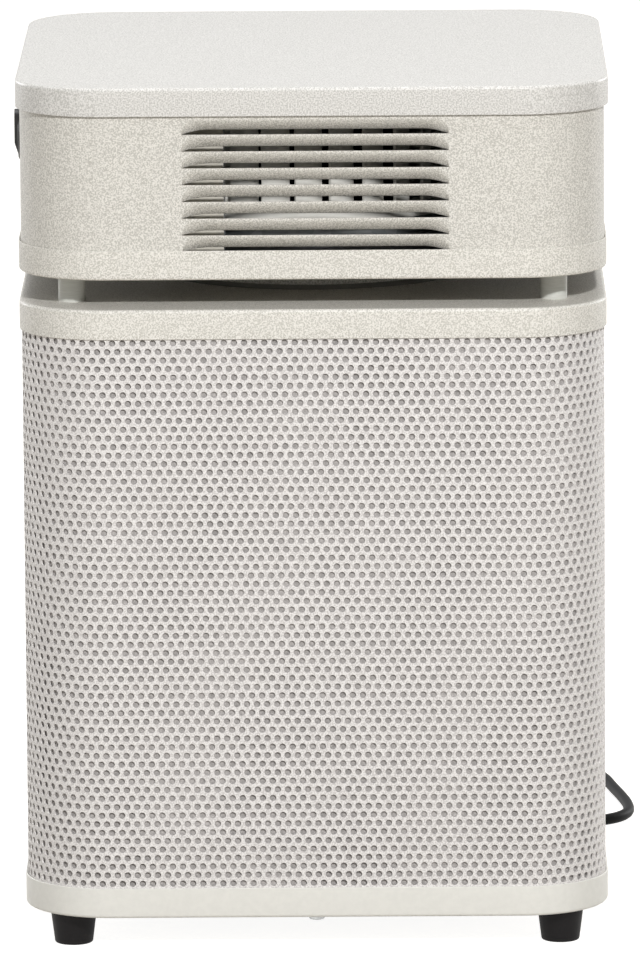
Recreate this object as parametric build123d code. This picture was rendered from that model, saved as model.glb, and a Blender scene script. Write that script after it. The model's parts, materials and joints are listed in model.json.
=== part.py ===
from build123d import *
import math
import os

# Compact room air purifier: a steel head with a louvred front stands on four posts over a
# perforated steel body that holds a round filter cartridge. Millimetres, +Z up, the louvred
# front faces -Y, and the origin is the centre of the footprint on the floor.

# ---- sheet metal case ----
lid_side = 279.4
lid_corner_radius = 42.0
sheet = 0.9
bend_radius = 1.6
lid_lap = 1.1
pan_lap = 0.2
foot_height = 16.0
base_flange = 14.4
shell_visible = 263.2
cap_flange = 14.0
neck_gap = 14.0
tray_flange = 14.0
band_visible = 63.6
lid_flange = 13.5
band_lip = 9.0

# ---- louvres in the front of the head ----
louvre_count = 8
louvre_pitch = 7.94
louvre_width = 125.2
louvre_offset_x = 1.8
louvre_sill = 0.2
louvre_slot = 7.1
louvre_opening = 2.1
louvre_depth = 5.0

# ---- neck between head and body ----
post_diameter = 12.8
post_inset_x = 24.1
post_inset_y = 30.7
neck_flange_inset = 45.7
neck_flange_width = 14.0
neck_flange_thickness = 3.0
neck_wall = 2.0
neck_seal_height = 2.2
neck_seal_margin = 1.0
air_hole_step = 10.0

# ---- feet ----
foot_inset = 21.95
foot_top_diameter = 22.0
foot_bottom_diameter = 18.0
foot_edge_radius = 1.2
foot_recess_diameter = 10.4
foot_recess_depth = 9.0

# ---- filter cartridge and prefilter ----
prefilter_thickness = 3.0
filter_clearance = 5.8
screen = 0.6
carbon_thickness = 21.0
hepa_thickness = 31.2
hepa_pleats = 48
pleat_depth = 20.0
end_cap = 4.0
gasket_height = 6.0
gasket_width = 18.0
bracket_length = 30.0
bracket_leg = 12.0
bracket_thickness = 1.5

# ---- fan ----
wheel_clearance = 6.0
wheel_rim_width = 14.0
wheel_rim_height = 6.0
wheel_top_gap = 6.0
wheel_blades = 28
blade_thickness = 1.5
blade_chord = 13.5
blade_angle = 60.0
wheel_plate = 2.5
wheel_floor_gap = 11.3
volute_top_drop = 8.8
volute_sheet = 1.2
isolator_height = 4.0
isolator_diameter = 12.0
scroll_gap_left = 56.8
scroll_gap_back = 48.8
scroll_gap_right = 34.8
scroll_split_x = 4.0
tongue_step = 2.0
mouth_inset = 38.5
plate_margin_left = 20.0
plate_margin_right = 16.0
plate_margin_back = 16.0
stud_inset = 8.0
stud_front_inset = 26.0
outlet_frame_gap = 16.8
outlet_frame_margin_left = 30.0
outlet_frame_margin_right = 14.0
inlet_throat_step = 3.0
inlet_wall = 1.5
inlet_overlap = 2.0
rotor_radius = 42.0
rotor_wall = 5.5
rotor_height = 46.0
rotor_floor = 2.5
air_gap = 1.0
stator_height = 28.0
stator_flange = 3.0
stator_flange_gap = 2.0
bearing_radius = 9.0
bearing_height = 7.0
shaft_radius = 4.0
running_clearance = 0.02

# ---- speed switch on the left wall of the head ----
knob_y = 40.0
knob_drop = 2.9
knob_height = 6.5
knob_length = 28.0
knob_width = 9.0
knob_boss_radius = 10.5
knob_tip_height = 2.6
knob_gap = 0.3
knob_shaft_cover = 1.2
dial_radius = 22.0
dial_thickness = 0.4
bushing_radius = 4.75
bushing_length = 3.4
nut_thickness = 2.2
switch_width = 28.0
switch_depth = 22.0
switch_shaft_radius = 3.0
switch_tag_y = 8.0
tag_length = 7.0
tag_thickness = 0.8

# ---- electrics in the head ----
capacitor_radius = 13.0
capacitor_length = 46.0
capacitor_x = -62.0
terminal_x = 12.0
terminal_length = 34.0
terminal_width = 18.0
terminal_height = 13.0
service_lane_inset = 16.8
wire_diameter = 2.4
wire_lane_rise = 21.0
wire_spacing = 3.2
wire_corner_inset = 27.8

# ---- mains lead ----
cord_diameter = 5.5
relief_x = 55.0
relief_z = 345.0
relief_length = 26.0
relief_inner_length = 5.0
relief_flange_radius = 8.5
relief_flange_thickness = 3.0
relief_root_radius = 6.2
relief_tip_radius = 3.9
coil_x = -26.0
coil_y = 186.0
coil_mean_radius = 32.0
coil_columns = 3
coil_lift = 1.0
plug_length = 34.0
plug_width = 25.0
plug_thickness = 20.0
plug_neck_length = 20.0
plug_neck_radius = 5.0
plug_y = 222.0
plug_side_step = 0.5
tie_width = 7.0
tie_gap = 0.15
blade_rise = 4.2
blade_length = 17.0
blade_width = 6.4
blade_gauge = 1.5
blade_spacing = 12.7
earth_pin_radius = 2.4
earth_pin_length = 20.0
earth_pin_drop = 10.2

# ---- fasteners and fits ----
hole_clearance = 0.2
seat_clearance = 0.3
bolt_radius = 2.5
small_screw_radius = 2.0
nut_height = 3.2
head_height = 2.6

# ---- heights and sides that follow ----
z_base = foot_height
z_base_floor = z_base + sheet
z_base_rim = z_base + base_flange
z_cap_rim = z_base_rim + shell_visible
z_cap_top = z_cap_rim + cap_flange
z_cap_under = z_cap_top - sheet
z_neck_seal = z_cap_top + neck_seal_height
z_tray = z_cap_top + neck_gap
z_tray_floor = z_tray + sheet
z_tray_rim = z_tray + tray_flange
z_lid_rim = z_tray_rim + band_visible
z_lid_top = z_lid_rim + lid_flange
z_lid_under = z_lid_top - sheet
knob_z = (z_tray_rim + z_lid_rim) / 2 - knob_drop
z_volute = z_tray_floor + isolator_height
z_volute_floor = z_volute + volute_sheet
z_volute_top = z_lid_under - volute_top_drop
z_wheel = z_volute_floor + wheel_floor_gap
z_wheel_top = z_volute_top - wheel_top_gap
z_stator_flange = z_volute_top - stator_flange
z_rotor_top = z_stator_flange - stator_flange_gap
z_rotor = z_rotor_top - rotor_height
band_side = lid_side - 2 * (sheet + lid_lap)
band_radius = lid_corner_radius - sheet - lid_lap
band_half = band_side / 2
inner_half = band_half - sheet
pan_side = band_side + 2 * (pan_lap + sheet)
pan_radius = band_radius + pan_lap + sheet
post_spacing_x = 2 * (band_half - post_inset_x)
post_spacing_y = 2 * (band_half - post_inset_y)
foot_spacing = 2 * (band_half - foot_inset)
neck_flange_radius = band_half - neck_flange_inset
neck_radius = neck_flange_radius - neck_flange_width
air_hole_radius = neck_radius - air_hole_step
filter_radius = inner_half - bracket_leg - filter_clearance
carbon_inner_radius = filter_radius - 2 * screen - carbon_thickness
core_radius = carbon_inner_radius - screen - hepa_thickness
scroll_left = inner_half - scroll_gap_left
scroll_back = inner_half - scroll_gap_back
scroll_right = inner_half - scroll_gap_right
tongue_radius = scroll_left - tongue_step
tongue_x = mouth_inset - scroll_left
plate_left = -scroll_left - plate_margin_left
plate_right = scroll_right + plate_margin_right
plate_back = scroll_back + plate_margin_back
outlet_frame_left = -scroll_left - outlet_frame_margin_left
outlet_frame_right = scroll_right + outlet_frame_margin_right
frame_y = -inner_half + outlet_frame_gap
plate_front = frame_y + volute_sheet
wheel_radius = scroll_left - wheel_clearance
wheel_eye_radius = wheel_radius - wheel_rim_width
inlet_throat_radius = wheel_eye_radius - inlet_throat_step
service_lane_y = inner_half - service_lane_inset

BOTTOM = (Align.CENTER, Align.CENTER, Align.MIN)


def disc(radius, z0, z1, x=0.0, y=0.0):
    return Pos(x, y, z0) * Cylinder(radius, z1 - z0, align=BOTTOM)


def ring(outer, inner, z0, z1, x=0.0, y=0.0):
    return disc(outer, z0, z1, x, y) - disc(inner, z0 - 1, z1 + 1, x, y)


def block(x0, x1, y0, y1, z0, z1):
    corner = (Align.MIN, Align.MIN, Align.MIN)
    return Pos(x0, y0, z0) * Box(x1 - x0, y1 - y0, z1 - z0, align=corner)


def rounded_block(side, radius, z0, z1):
    return Pos(0, 0, z0) * extrude(RectangleRounded(side, side, radius), z1 - z0)


def sleeve(side, radius, wall, z0, z1):
    core = rounded_block(side - 2 * wall, radius - wall, z0 - 1, z1 + 1)
    return rounded_block(side, radius, z0, z1) - core


def pan(side, radius, z_plate, z_rim):
    """Shallow sheet pan: a plate at z_plate with its skirt bent towards z_rim."""
    low = min(z_plate, z_rim)
    high = max(z_plate, z_rim)
    outer = rounded_block(side, radius, low, high)
    inner = rounded_block(side - 2 * sheet, radius - sheet, low, high)
    bend = outer.edges().group_by(Axis.Z)[0 if z_plate < z_rim else -1]
    outer = fillet(bend, min(bend_radius, 2 * sheet))
    return outer - Pos(0, 0, sheet if z_plate < z_rim else -sheet) * inner


def four(spacing_x, spacing_y):
    return [(sx * spacing_x / 2, sy * spacing_y / 2) for sx in (-1, 1) for sy in (-1, 1)]


def screw(x, y, z_seat, z_tip, radius, head_up=True):
    """Pan-head screw that bears on z_seat and reaches z_tip."""
    head_radius = 1.9 * radius
    z_head = z_seat + head_height if head_up else z_seat - head_height
    shank = disc(radius, min(z_seat, z_tip), max(z_seat, z_tip), x, y)
    head = disc(head_radius, min(z_seat, z_head), max(z_seat, z_head), x, y)
    rim = head.edges().group_by(Axis.Z)[-1 if head_up else 0]
    head = fillet(rim, head_height * 0.4)
    slot = block(x - head_radius, x + head_radius, y - 0.5, y + 0.5, z_head - 1, z_head + 1)
    return shank + head - slot


def hex_nut(x, y, z, radius):
    nut = extrude(RegularPolygon(1.85 * radius, 6), nut_height)
    return Pos(x, y, z) * nut - disc(radius + running_clearance, z - 1, z + nut_height + 1, x, y)


def compound(solids):
    return Compound(children=list(solids))


def tube(points, diameter, label=None):
    """Round lead along straight runs joined by the largest tangent arcs that the runs allow."""
    vectors = [Vector(*p) for p in points]
    runs = [b - a for a, b in zip(vectors, vectors[1:])]
    radii = []
    for before, after in zip(runs, runs[1:]):
        half_turn = math.radians(before.get_angle(after)) / 2
        radii.append(0.45 * min(before.length, after.length) / math.tan(half_turn))
    path = FilletPolyline(*vectors, radius=radii)
    start = Plane(origin=vectors[0], z_dir=runs[0])
    solid = sweep(start * Circle(diameter / 2), path=path)
    if label:
        print(label, "length", round(path.length, 1), "least radius", round(min(radii), 1))
        print("  radii", [round(r, 1) for r in radii])
        section = math.pi * diameter**2 / 4
        print("  volume over section x length", round(solid.volume / (section * path.length), 5))
    return solid


# ---------------------------------------------------------------- case


def make_lid():
    holes = [lid_screw_axis(x) for x in lid_screw_xs()]
    lid = pan(lid_side, lid_corner_radius, z_lid_top, z_lid_rim)
    for hole in holes:
        lid -= hole
    return lid


def lid_screw_xs():
    return (-lid_side / 4, lid_side / 4)


def lid_screw_axis(x):
    z = z_lid_rim + lid_flange / 2
    bore = Cylinder(small_screw_radius + hole_clearance, 4 * (sheet + lid_lap))
    return Pos(x, lid_side / 2 - sheet, z) * Rot(90, 0, 0) * bore


def make_lid_screws():
    z = z_lid_rim + lid_flange / 2
    screws = []
    for x in lid_screw_xs():
        flat = screw(0, 0, 0, -2 * (sheet + lid_lap) - 3, small_screw_radius)
        screws.append(Pos(x, lid_side / 2, z) * Rot(-90, 0, 0) * flat)
    return compound(screws)


def louvre_blade(z_tip):
    """Blade pressed inward: it leaves the sheet at the top of its slot and ends low and free."""
    y_face = -band_half
    top = z_tip + louvre_slot
    edge = z_tip + louvre_opening
    y_edge = y_face + louvre_depth
    middle = (y_face + 0.68 * louvre_depth, edge + 0.42 * (top - edge))
    outer = ThreePointArc((y_face, top), middle, (y_edge, edge))
    inner = ThreePointArc(
        (y_edge + sheet, edge),
        (middle[0] + sheet, middle[1] + 0.6 * sheet),
        (y_face + sheet, top + sheet * 0.5),
    )
    sides = [
        Line((y_edge, edge), (y_edge + sheet, edge)),
        Line((y_face + sheet, top + sheet * 0.5), (y_face, top + sheet * 0.5)),
        Line((y_face, top + sheet * 0.5), (y_face, top)),
    ]
    profile = make_face([outer, inner] + sides)
    blade = extrude(Plane.YZ * profile, louvre_width)
    return Pos(louvre_offset_x - louvre_width / 2, 0, 0) * blade


def louvre_cheeks(z_tip):
    """Closed ends of one louvre."""
    y_face = -band_half
    top = z_tip + louvre_slot
    profile = make_face(
        Polyline(
            (y_face, top),
            (y_face, z_tip),
            (y_face + sheet, z_tip),
            (y_face + louvre_depth + sheet, z_tip + louvre_opening),
            (y_face + sheet, top),
            (y_face, top),
        )
    )
    cheek = extrude(Plane.YZ * profile, sheet)
    left = louvre_offset_x - louvre_width / 2
    return [Pos(left, 0, 0) * cheek, Pos(left + louvre_width - sheet, 0, 0) * cheek]


def make_head_band():
    band = sleeve(band_side, band_radius, sheet, z_tray_floor, z_lid_under)
    lip_side = band_side - 2 * band_lip
    lip_core = rounded_block(lip_side, band_radius - band_lip, z_lid_rim, z_lid_top)
    band += rounded_block(band_side, band_radius, z_lid_under - sheet, z_lid_under) - lip_core
    left = louvre_offset_x - louvre_width / 2
    for i in range(louvre_count):
        z_tip = z_tray_rim + louvre_sill + i * louvre_pitch
        slot = block(
            left, left + louvre_width, -band_half - 1, -inner_half + 0.5, z_tip, z_tip + louvre_slot
        )
        band -= slot
    for i in range(louvre_count):
        z_tip = z_tray_rim + louvre_sill + i * louvre_pitch
        band += louvre_blade(z_tip)
        for cheek in louvre_cheeks(z_tip):
            band += cheek
    bushing_hole = Cylinder(bushing_radius + hole_clearance, 6 * sheet)
    band -= Pos(-band_half, knob_y, knob_z) * Rot(0, 90, 0) * bushing_hole
    relief_hole = Cylinder(relief_root_radius + hole_clearance, 6 * sheet)
    band -= Pos(relief_x, band_half, relief_z) * Rot(90, 0, 0) * relief_hole
    for x in lid_screw_xs():
        band -= lid_screw_axis(x)
    return band


def make_head_tray():
    tray = pan(pan_side, pan_radius, z_tray, z_tray_rim)
    tray -= disc(air_hole_radius, z_tray - 1, z_tray_floor + 1)
    for x, y in four(post_spacing_x, post_spacing_y):
        tray -= disc(bolt_radius + hole_clearance, z_tray - 1, z_tray_floor + 1, x, y)
    return tray


def make_neck_flange():
    z0 = z_tray - neck_flange_thickness
    flange = ring(neck_flange_radius, neck_radius - neck_wall, z0, z_tray)
    rim = flange.edges().filter_by(GeomType.CIRCLE).group_by(Axis.Z)[0].sort_by(SortBy.RADIUS)[-1]
    return fillet(rim, neck_flange_thickness * 0.3)


def make_neck_collar():
    z1 = z_tray - neck_flange_thickness
    return ring(neck_radius, neck_radius - neck_wall, z_neck_seal, z1)


def make_neck_seal():
    inner = neck_radius - neck_wall - neck_seal_margin
    return ring(neck_radius + neck_seal_margin, inner, z_cap_top, z_neck_seal)


def make_spacer_posts():
    posts = []
    for x, y in four(post_spacing_x, post_spacing_y):
        bore = bolt_radius + hole_clearance
        posts.append(ring(post_diameter / 2, bore, z_cap_top, z_tray, x, y))
    return compound(posts)


def make_head_bolts():
    z_tip = z_cap_under - nut_height - 1.5
    sites = four(post_spacing_x, post_spacing_y)
    return compound([screw(x, y, z_tray_floor, z_tip, bolt_radius) for x, y in sites])


def make_head_nuts():
    sites = four(post_spacing_x, post_spacing_y)
    return compound([hex_nut(x, y, z_cap_under - nut_height, bolt_radius) for x, y in sites])


def make_body_cap():
    cap = pan(pan_side, pan_radius, z_cap_top, z_cap_rim)
    cap -= disc(air_hole_radius, z_cap_under - 1, z_cap_top + 1)
    for x, y in four(post_spacing_x, post_spacing_y):
        cap -= disc(bolt_radius + hole_clearance, z_cap_under - 1, z_cap_top + 1, x, y)
    return cap


def make_perforated_shell():
    return sleeve(band_side, band_radius, sheet, z_base_floor, z_cap_under)


def bracket_angles():
    return (0, 90, 180, 270)


def make_base_brackets():
    """Angles inside the foot of the shell that the base screws pull on."""
    brackets = []
    for angle in bracket_angles():
        upright = block(
            -bracket_length / 2,
            bracket_length / 2,
            -inner_half,
            -inner_half + bracket_thickness,
            z_base_floor,
            z_base_floor + bracket_leg,
        )
        foot = block(
            -bracket_length / 2,
            bracket_length / 2,
            -inner_half,
            -inner_half + bracket_leg,
            z_base_floor,
            z_base_floor + bracket_thickness,
        )
        hole = disc(
            small_screw_radius + running_clearance,
            z_base,
            z_base_floor + bracket_leg,
            0,
            base_screw_y(),
        )
        brackets.append(Rot(0, 0, angle) * (upright + foot - hole))
    return compound(brackets)


def base_screw_y():
    return -inner_half + 0.62 * bracket_leg


def make_base_screws():
    z_tip = z_base_floor + bracket_thickness + 3
    screws = []
    for angle in bracket_angles():
        one = screw(0, base_screw_y(), z_base, z_tip, small_screw_radius, head_up=False)
        screws.append(Rot(0, 0, angle) * one)
    return compound(screws)


def make_base_pan():
    base = pan(pan_side, pan_radius, z_base, z_base_rim)
    for x, y in four(foot_spacing, foot_spacing):
        base -= disc(small_screw_radius + hole_clearance, z_base - 1, z_base_floor + 1, x, y)
    for angle in bracket_angles():
        radius = small_screw_radius + hole_clearance
        hole = disc(radius, z_base - 1, z_base_floor + 1, 0, base_screw_y())
        base -= Rot(0, 0, angle) * hole
    return base


def make_rubber_feet():
    top = foot_top_diameter / 2
    bottom = foot_bottom_diameter / 2
    foot = Cone(bottom, top, foot_height, align=BOTTOM)
    foot = fillet(foot.edges().group_by(Axis.Z)[0], foot_edge_radius)
    foot -= disc(foot_recess_diameter / 2, -1, foot_recess_depth)
    foot -= disc(small_screw_radius + hole_clearance, 0, foot_height + 1)
    return compound([Pos(x, y, 0) * foot for x, y in four(foot_spacing, foot_spacing)])


def make_foot_screws():
    z_tip = z_base_floor + nut_height + 1
    sites = four(foot_spacing, foot_spacing)
    screws = [
        screw(x, y, foot_recess_depth, z_tip, small_screw_radius, head_up=False) for x, y in sites
    ]
    return compound(screws)


def make_foot_nuts():
    sites = four(foot_spacing, foot_spacing)
    return compound([hex_nut(x, y, z_base_floor, small_screw_radius) for x, y in sites])


# ---------------------------------------------------------------- filter


def z_filter():
    return z_base_floor + gasket_height


def z_filter_top():
    return z_cap_under - gasket_height


def make_prefilter():
    side = 2 * (inner_half - seat_clearance)
    radius = band_radius - sheet - seat_clearance
    z0 = z_base_floor + bracket_leg + seat_clearance
    return sleeve(side, radius, prefilter_thickness, z0, z_cap_under - seat_clearance)


def make_filter_outer_screen():
    z0 = z_filter() + end_cap
    z1 = z_filter_top() - end_cap
    return ring(filter_radius - screen, filter_radius - 2 * screen, z0, z1)


def make_carbon_bed():
    z0 = z_filter() + end_cap
    z1 = z_filter_top() - end_cap
    return ring(filter_radius - 2 * screen, carbon_inner_radius, z0, z1)


def make_filter_middle_screen():
    z0 = z_filter() + end_cap
    z1 = z_filter_top() - end_cap
    outer = carbon_inner_radius
    return ring(outer, outer - screen, z0, z1)


def make_hepa_pack():
    """Pleated paper between the middle screen and the core, folded into even pleats."""
    outer = carbon_inner_radius - screen
    inner = core_radius
    z0 = z_filter() + end_cap
    z1 = z_filter_top() - end_cap
    roots = []
    for i in range(hepa_pleats):
        for step, radius in ((0.0, outer - pleat_depth), (0.5, outer - 2.0)):
            angle = 2 * math.pi * (i + step) / hepa_pleats
            roots.append((radius * math.cos(angle), radius * math.sin(angle)))
    star = make_face(Polyline(*roots, close=True))
    pack = Pos(0, 0, z0) * extrude(Circle(outer) - star, z1 - z0)
    lining = ring(max(outer - pleat_depth + 1.5, inner + 0.5), inner, z0, z1)
    return pack + lining


def make_filter_core():
    z0 = z_filter() + end_cap
    z1 = z_filter_top() - end_cap
    return ring(core_radius, core_radius - screen, z0, z1)


def make_filter_top_cap():
    return ring(filter_radius, core_radius - screen, z_filter_top() - end_cap, z_filter_top())


def make_filter_bottom_cap():
    return disc(filter_radius, z_filter(), z_filter() + end_cap)


def make_filter_top_gasket():
    outer = filter_radius - 1
    return ring(outer, outer - gasket_width, z_filter_top(), z_cap_under)


def make_filter_bottom_gasket():
    outer = filter_radius - 1
    return ring(outer, outer - gasket_width, z_base_floor, z_filter())


# ---------------------------------------------------------------- fan


def scroll_region(grow=0.0):
    """Plan of the air space in the scroll: three quarter discs that grow round the wheel."""
    far = 4 * wheel_radius
    left_r = scroll_left + scroll_split_x
    left_y = scroll_back - left_r
    right_r = scroll_right - scroll_split_x
    right_y = scroll_back - right_r
    corner = (Align.MAX, Align.MIN)
    back_left = Pos(scroll_split_x, left_y) * (
        Circle(left_r) & Rectangle(far, far, align=corner)
    )
    back_right = Pos(scroll_split_x, right_y) * (
        Circle(right_r) & Rectangle(far, far, align=(Align.MIN, Align.MIN))
    )
    front_left = Pos(tongue_radius - scroll_left, left_y) * (
        Circle(tongue_radius) & Rectangle(far, far, align=(Align.MAX, Align.MAX))
    )
    width = scroll_right - tongue_x
    outlet = Pos(tongue_x, plate_front) * Rectangle(
        width, right_y - plate_front, align=(Align.MIN, Align.MIN)
    )
    middle = Circle(wheel_radius + 2.5)
    region = back_left + back_right + front_left + outlet + middle
    return region if grow == 0 else offset(region, grow)


def make_scroll_wall():
    wall = scroll_region(volute_sheet) - scroll_region()
    far = 4 * wheel_radius
    wall -= Pos(0, plate_front) * Rectangle(far, far, align=(Align.CENTER, Align.MAX))
    return Pos(0, 0, z_volute_floor) * extrude(wall, z_volute_top - z_volute_floor)


def stud_sites():
    left = plate_left + stud_inset
    right = plate_right - stud_inset
    front = plate_front + stud_front_inset
    back = plate_back - stud_inset
    return [(left, front), (left, back), (right, front), (right, back)]


def fan_plate(z0, hole_radius):
    plate = block(plate_left, plate_right, plate_front, plate_back, z0, z0 + volute_sheet)
    plate = fillet(plate.edges().filter_by(Axis.Z), stud_inset / 2)
    plate -= disc(hole_radius, z0 - 1, z0 + volute_sheet + 1)
    for x, y in stud_sites():
        radius = small_screw_radius + hole_clearance
        plate -= disc(radius, z0 - 1, z0 + volute_sheet + 1, x, y)
    return plate


def make_fan_base_plate():
    return fan_plate(z_volute, wheel_eye_radius + 4)


def motor_screw_sites():
    reach = 0.8 * (rotor_radius - rotor_wall)
    corner = reach * math.cos(math.pi / 4)
    return four(2 * corner, 2 * corner)


def make_motor_plate():
    plate = fan_plate(z_volute_top, shaft_radius + 4)
    for x, y in motor_screw_sites():
        radius = small_screw_radius + hole_clearance
        plate -= disc(radius, z_volute_top - 1, z_volute_top + volute_sheet + 1, x, y)
    return plate


def make_fan_studs():
    z1 = z_volute_top + volute_sheet + nut_height + 1
    return compound([disc(small_screw_radius, z_tray_floor, z1, x, y) for x, y in stud_sites()])


def make_fan_nuts():
    z0 = z_volute_top + volute_sheet
    return compound([hex_nut(x, y, z0, small_screw_radius) for x, y in stud_sites()])


def make_fan_isolators():
    inner = small_screw_radius + running_clearance
    radius = isolator_diameter / 2
    return compound([ring(radius, inner, z_tray_floor, z_volute, x, y) for x, y in stud_sites()])


def make_inlet_seal():
    outer = air_hole_radius + 8
    return ring(outer, air_hole_radius, z_tray_floor, z_volute)


def make_inlet_ring():
    """Bell mouth that leads air from the base plate into the eye of the wheel."""
    z0 = z_volute_floor
    z1 = z_wheel + inlet_overlap
    throat = inlet_throat_radius
    mouth = wheel_eye_radius + 4
    flange_r = mouth + 10
    wall = inlet_wall
    inside = Spline((mouth - wall, z0), (throat, z1), tangents=((-0.3, 1), (0, 1)))
    outside = Spline((throat + wall, z1), (mouth, z0 + wall), tangents=((0, -1), (0.3, -1)))
    profile = make_face(
        [
            inside,
            Line((throat, z1), (throat + wall, z1)),
            outside,
            Line((mouth, z0 + wall), (flange_r, z0 + wall)),
            Line((flange_r, z0 + wall), (flange_r, z0)),
            Line((flange_r, z0), (mouth - wall, z0)),
        ]
    )
    return revolve(Plane.XZ * profile, Axis.Z)


def make_outlet_frame():
    """Plate behind the louvres that lets the scroll's mouth through and seals round it."""
    top = z_lid_under - seat_clearance
    y0 = frame_y
    y1 = plate_front
    plate = block(outlet_frame_left, outlet_frame_right, y0, y1, z_tray_floor, top)
    mouth = block(tongue_x, scroll_right, y0 - 1, y1 + 1, z_volute_floor, z_volute_top)
    return plate - mouth


def blade_profile():
    """Plan of one blade, a thin arc whose tip leans forward, clockwise as seen from above."""
    lean = math.radians(blade_angle)
    outer = Vector(wheel_radius - 0.6, 0, 0)
    inner = outer - Vector(blade_chord * math.cos(lean), -blade_chord * math.sin(lean), 0)
    along = (outer - inner).normalized()
    side = Vector(-along.Y, along.X, 0)
    middle = (outer + inner) * 0.5 + side * (0.12 * blade_chord)
    half = side * (blade_thickness / 2)
    front = ThreePointArc(inner + half, middle + half, outer + half)
    back = ThreePointArc(outer - half, middle - half, inner - half)
    return make_face(
        [front, Line(outer + half, outer - half), back, Line(inner - half, inner + half)]
    )


def make_impeller():
    eye_ring = ring(wheel_radius, wheel_eye_radius, z_wheel, z_wheel + wheel_rim_height)
    back_plate = ring(wheel_radius, rotor_radius, z_wheel_top - wheel_plate, z_wheel_top)
    hub = ring(rotor_radius + 2.2, rotor_radius, z_wheel_top - 5 * wheel_plate, z_wheel_top)
    wheel = eye_ring + back_plate + hub
    reach = z_wheel_top - z_wheel - wheel_rim_height - wheel_plate
    blade = Pos(0, 0, z_wheel + wheel_rim_height - 0.5) * extrude(blade_profile(), reach + 1)
    for i in range(wheel_blades):
        wheel += Rot(0, 0, 360 * (i + 0.5) / wheel_blades) * blade
    return wheel


def make_rotor_can():
    can = disc(rotor_radius, z_rotor, z_rotor_top)
    can = fillet(can.edges().group_by(Axis.Z)[0], 2.0)
    can -= disc(rotor_radius - rotor_wall, z_rotor + rotor_floor, z_rotor_top + 1)
    return can - disc(shaft_radius, z_rotor - 1, z_rotor_top)


def make_motor_shaft():
    return disc(shaft_radius, z_rotor, z_stator_flange + stator_flange / 2)


def stator_radius():
    return rotor_radius - rotor_wall - air_gap


def make_motor_stator():
    z_tube = z_rotor + rotor_floor + 1.5
    core_z = z_rotor + rotor_floor + 8
    flange = disc(stator_radius() + 4, z_stator_flange, z_volute_top)
    tube_wall = disc(bearing_radius + 3, z_tube, z_volute_top)
    core = disc(stator_radius(), core_z, core_z + stator_height)
    stator = flange + tube_wall + core
    stator -= disc(bearing_radius, z_tube - 1, z_volute_top - 1)
    radius = small_screw_radius + running_clearance
    for x, y in motor_screw_sites():
        stator -= disc(radius, z_stator_flange - 1, z_volute_top + 1, x, y)
    return stator


def make_motor_bearings():
    z_low = z_rotor + rotor_floor + 1.5
    z_high = z_stator_flange - bearing_height - 1
    bore = shaft_radius + running_clearance
    return compound([ring(bearing_radius, bore, z, z + bearing_height) for z in (z_low, z_high)])


def make_motor_screws():
    z_seat = z_volute_top + volute_sheet
    screws = [
        screw(x, y, z_seat, z_stator_flange, small_screw_radius) for x, y in motor_screw_sites()
    ]
    return compound(screws)


# ---------------------------------------------------------------- speed switch


def on_left_wall(shape):
    """Places a shape drawn along +Z, with z = 0 on the wall's outer face, on the left wall."""
    return Pos(-band_half, knob_y, knob_z) * Rot(0, -90, 0) * shape


def make_rotary_switch():
    half = switch_width / 2
    body = block(-half, half, -half, half, -sheet - switch_depth, -sheet)
    body = fillet(body.edges().filter_by(Axis.Z), 2)
    bushing = disc(bushing_radius, -sheet, bushing_length)
    bore_radius = switch_shaft_radius + running_clearance
    shaft_bore = disc(bore_radius, shaft_inner_end(), bushing_length + 1)
    switch = body + bushing
    z1 = -sheet - switch_depth
    for x in switch_tag_offsets():
        y = switch_tag_y
        switch += block(x - 2.4, x + 2.4, y - tag_thickness, y, z1 - tag_length, z1)
    return on_left_wall(switch - shaft_bore)


def shaft_inner_end():
    return -sheet - 0.7 * switch_depth


def switch_tag_offsets():
    return (-8, 0, 8)


def make_switch_nut():
    nut = extrude(RegularPolygon(bushing_radius + 2.6, 6), nut_thickness)
    nut = Pos(0, 0, dial_thickness) * nut
    return on_left_wall(nut - disc(bushing_radius + running_clearance, -1, nut_thickness + 2))


def make_dial_plate():
    return on_left_wall(ring(dial_radius, bushing_radius + hole_clearance, 0, dial_thickness))


def knob_base():
    return dial_thickness + knob_gap


def make_speed_knob():
    """Bar knob: a round boss under a finger bar that slopes down to its pointing end."""
    z0 = knob_base()
    z1 = z0 + knob_height
    half = knob_length / 2
    boss = disc(knob_boss_radius, z0, z0 + 0.72 * knob_height)
    boss = fillet(boss.edges().group_by(Axis.Z)[-1], 0.8)
    side_view = make_face(
        Polyline(
            (half, z0),
            (half, z1),
            (-0.15 * half, z1),
            (-half, z0 + knob_tip_height),
            (-half, z0),
            (half, z0),
        )
    )
    bar = extrude(Plane.XZ * side_view, knob_width / 2, both=True)
    ends = extrude(SlotOverall(knob_length, knob_width), z1 + 1)
    bar = bar & ends
    knob = boss + bar
    knob -= disc(bushing_radius + 3.2, z0 - 1, z0 + bushing_length + seat_clearance)
    knob -= disc(switch_shaft_radius, z0, z0 + knob_height - knob_shaft_cover)
    return on_left_wall(knob)


def make_switch_shaft():
    outer_end = knob_base() + knob_height - knob_shaft_cover
    return on_left_wall(disc(switch_shaft_radius, shaft_inner_end() + seat_clearance, outer_end))


# ---------------------------------------------------------------- electrics


def make_capacitor():
    z = z_tray_floor + capacitor_radius + 1.0
    can = Cylinder(capacitor_radius, capacitor_length)
    can = fillet(can.edges(), 1.5)
    return Pos(capacitor_x, service_lane_y, z) * Rot(0, 90, 0) * can


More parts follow.
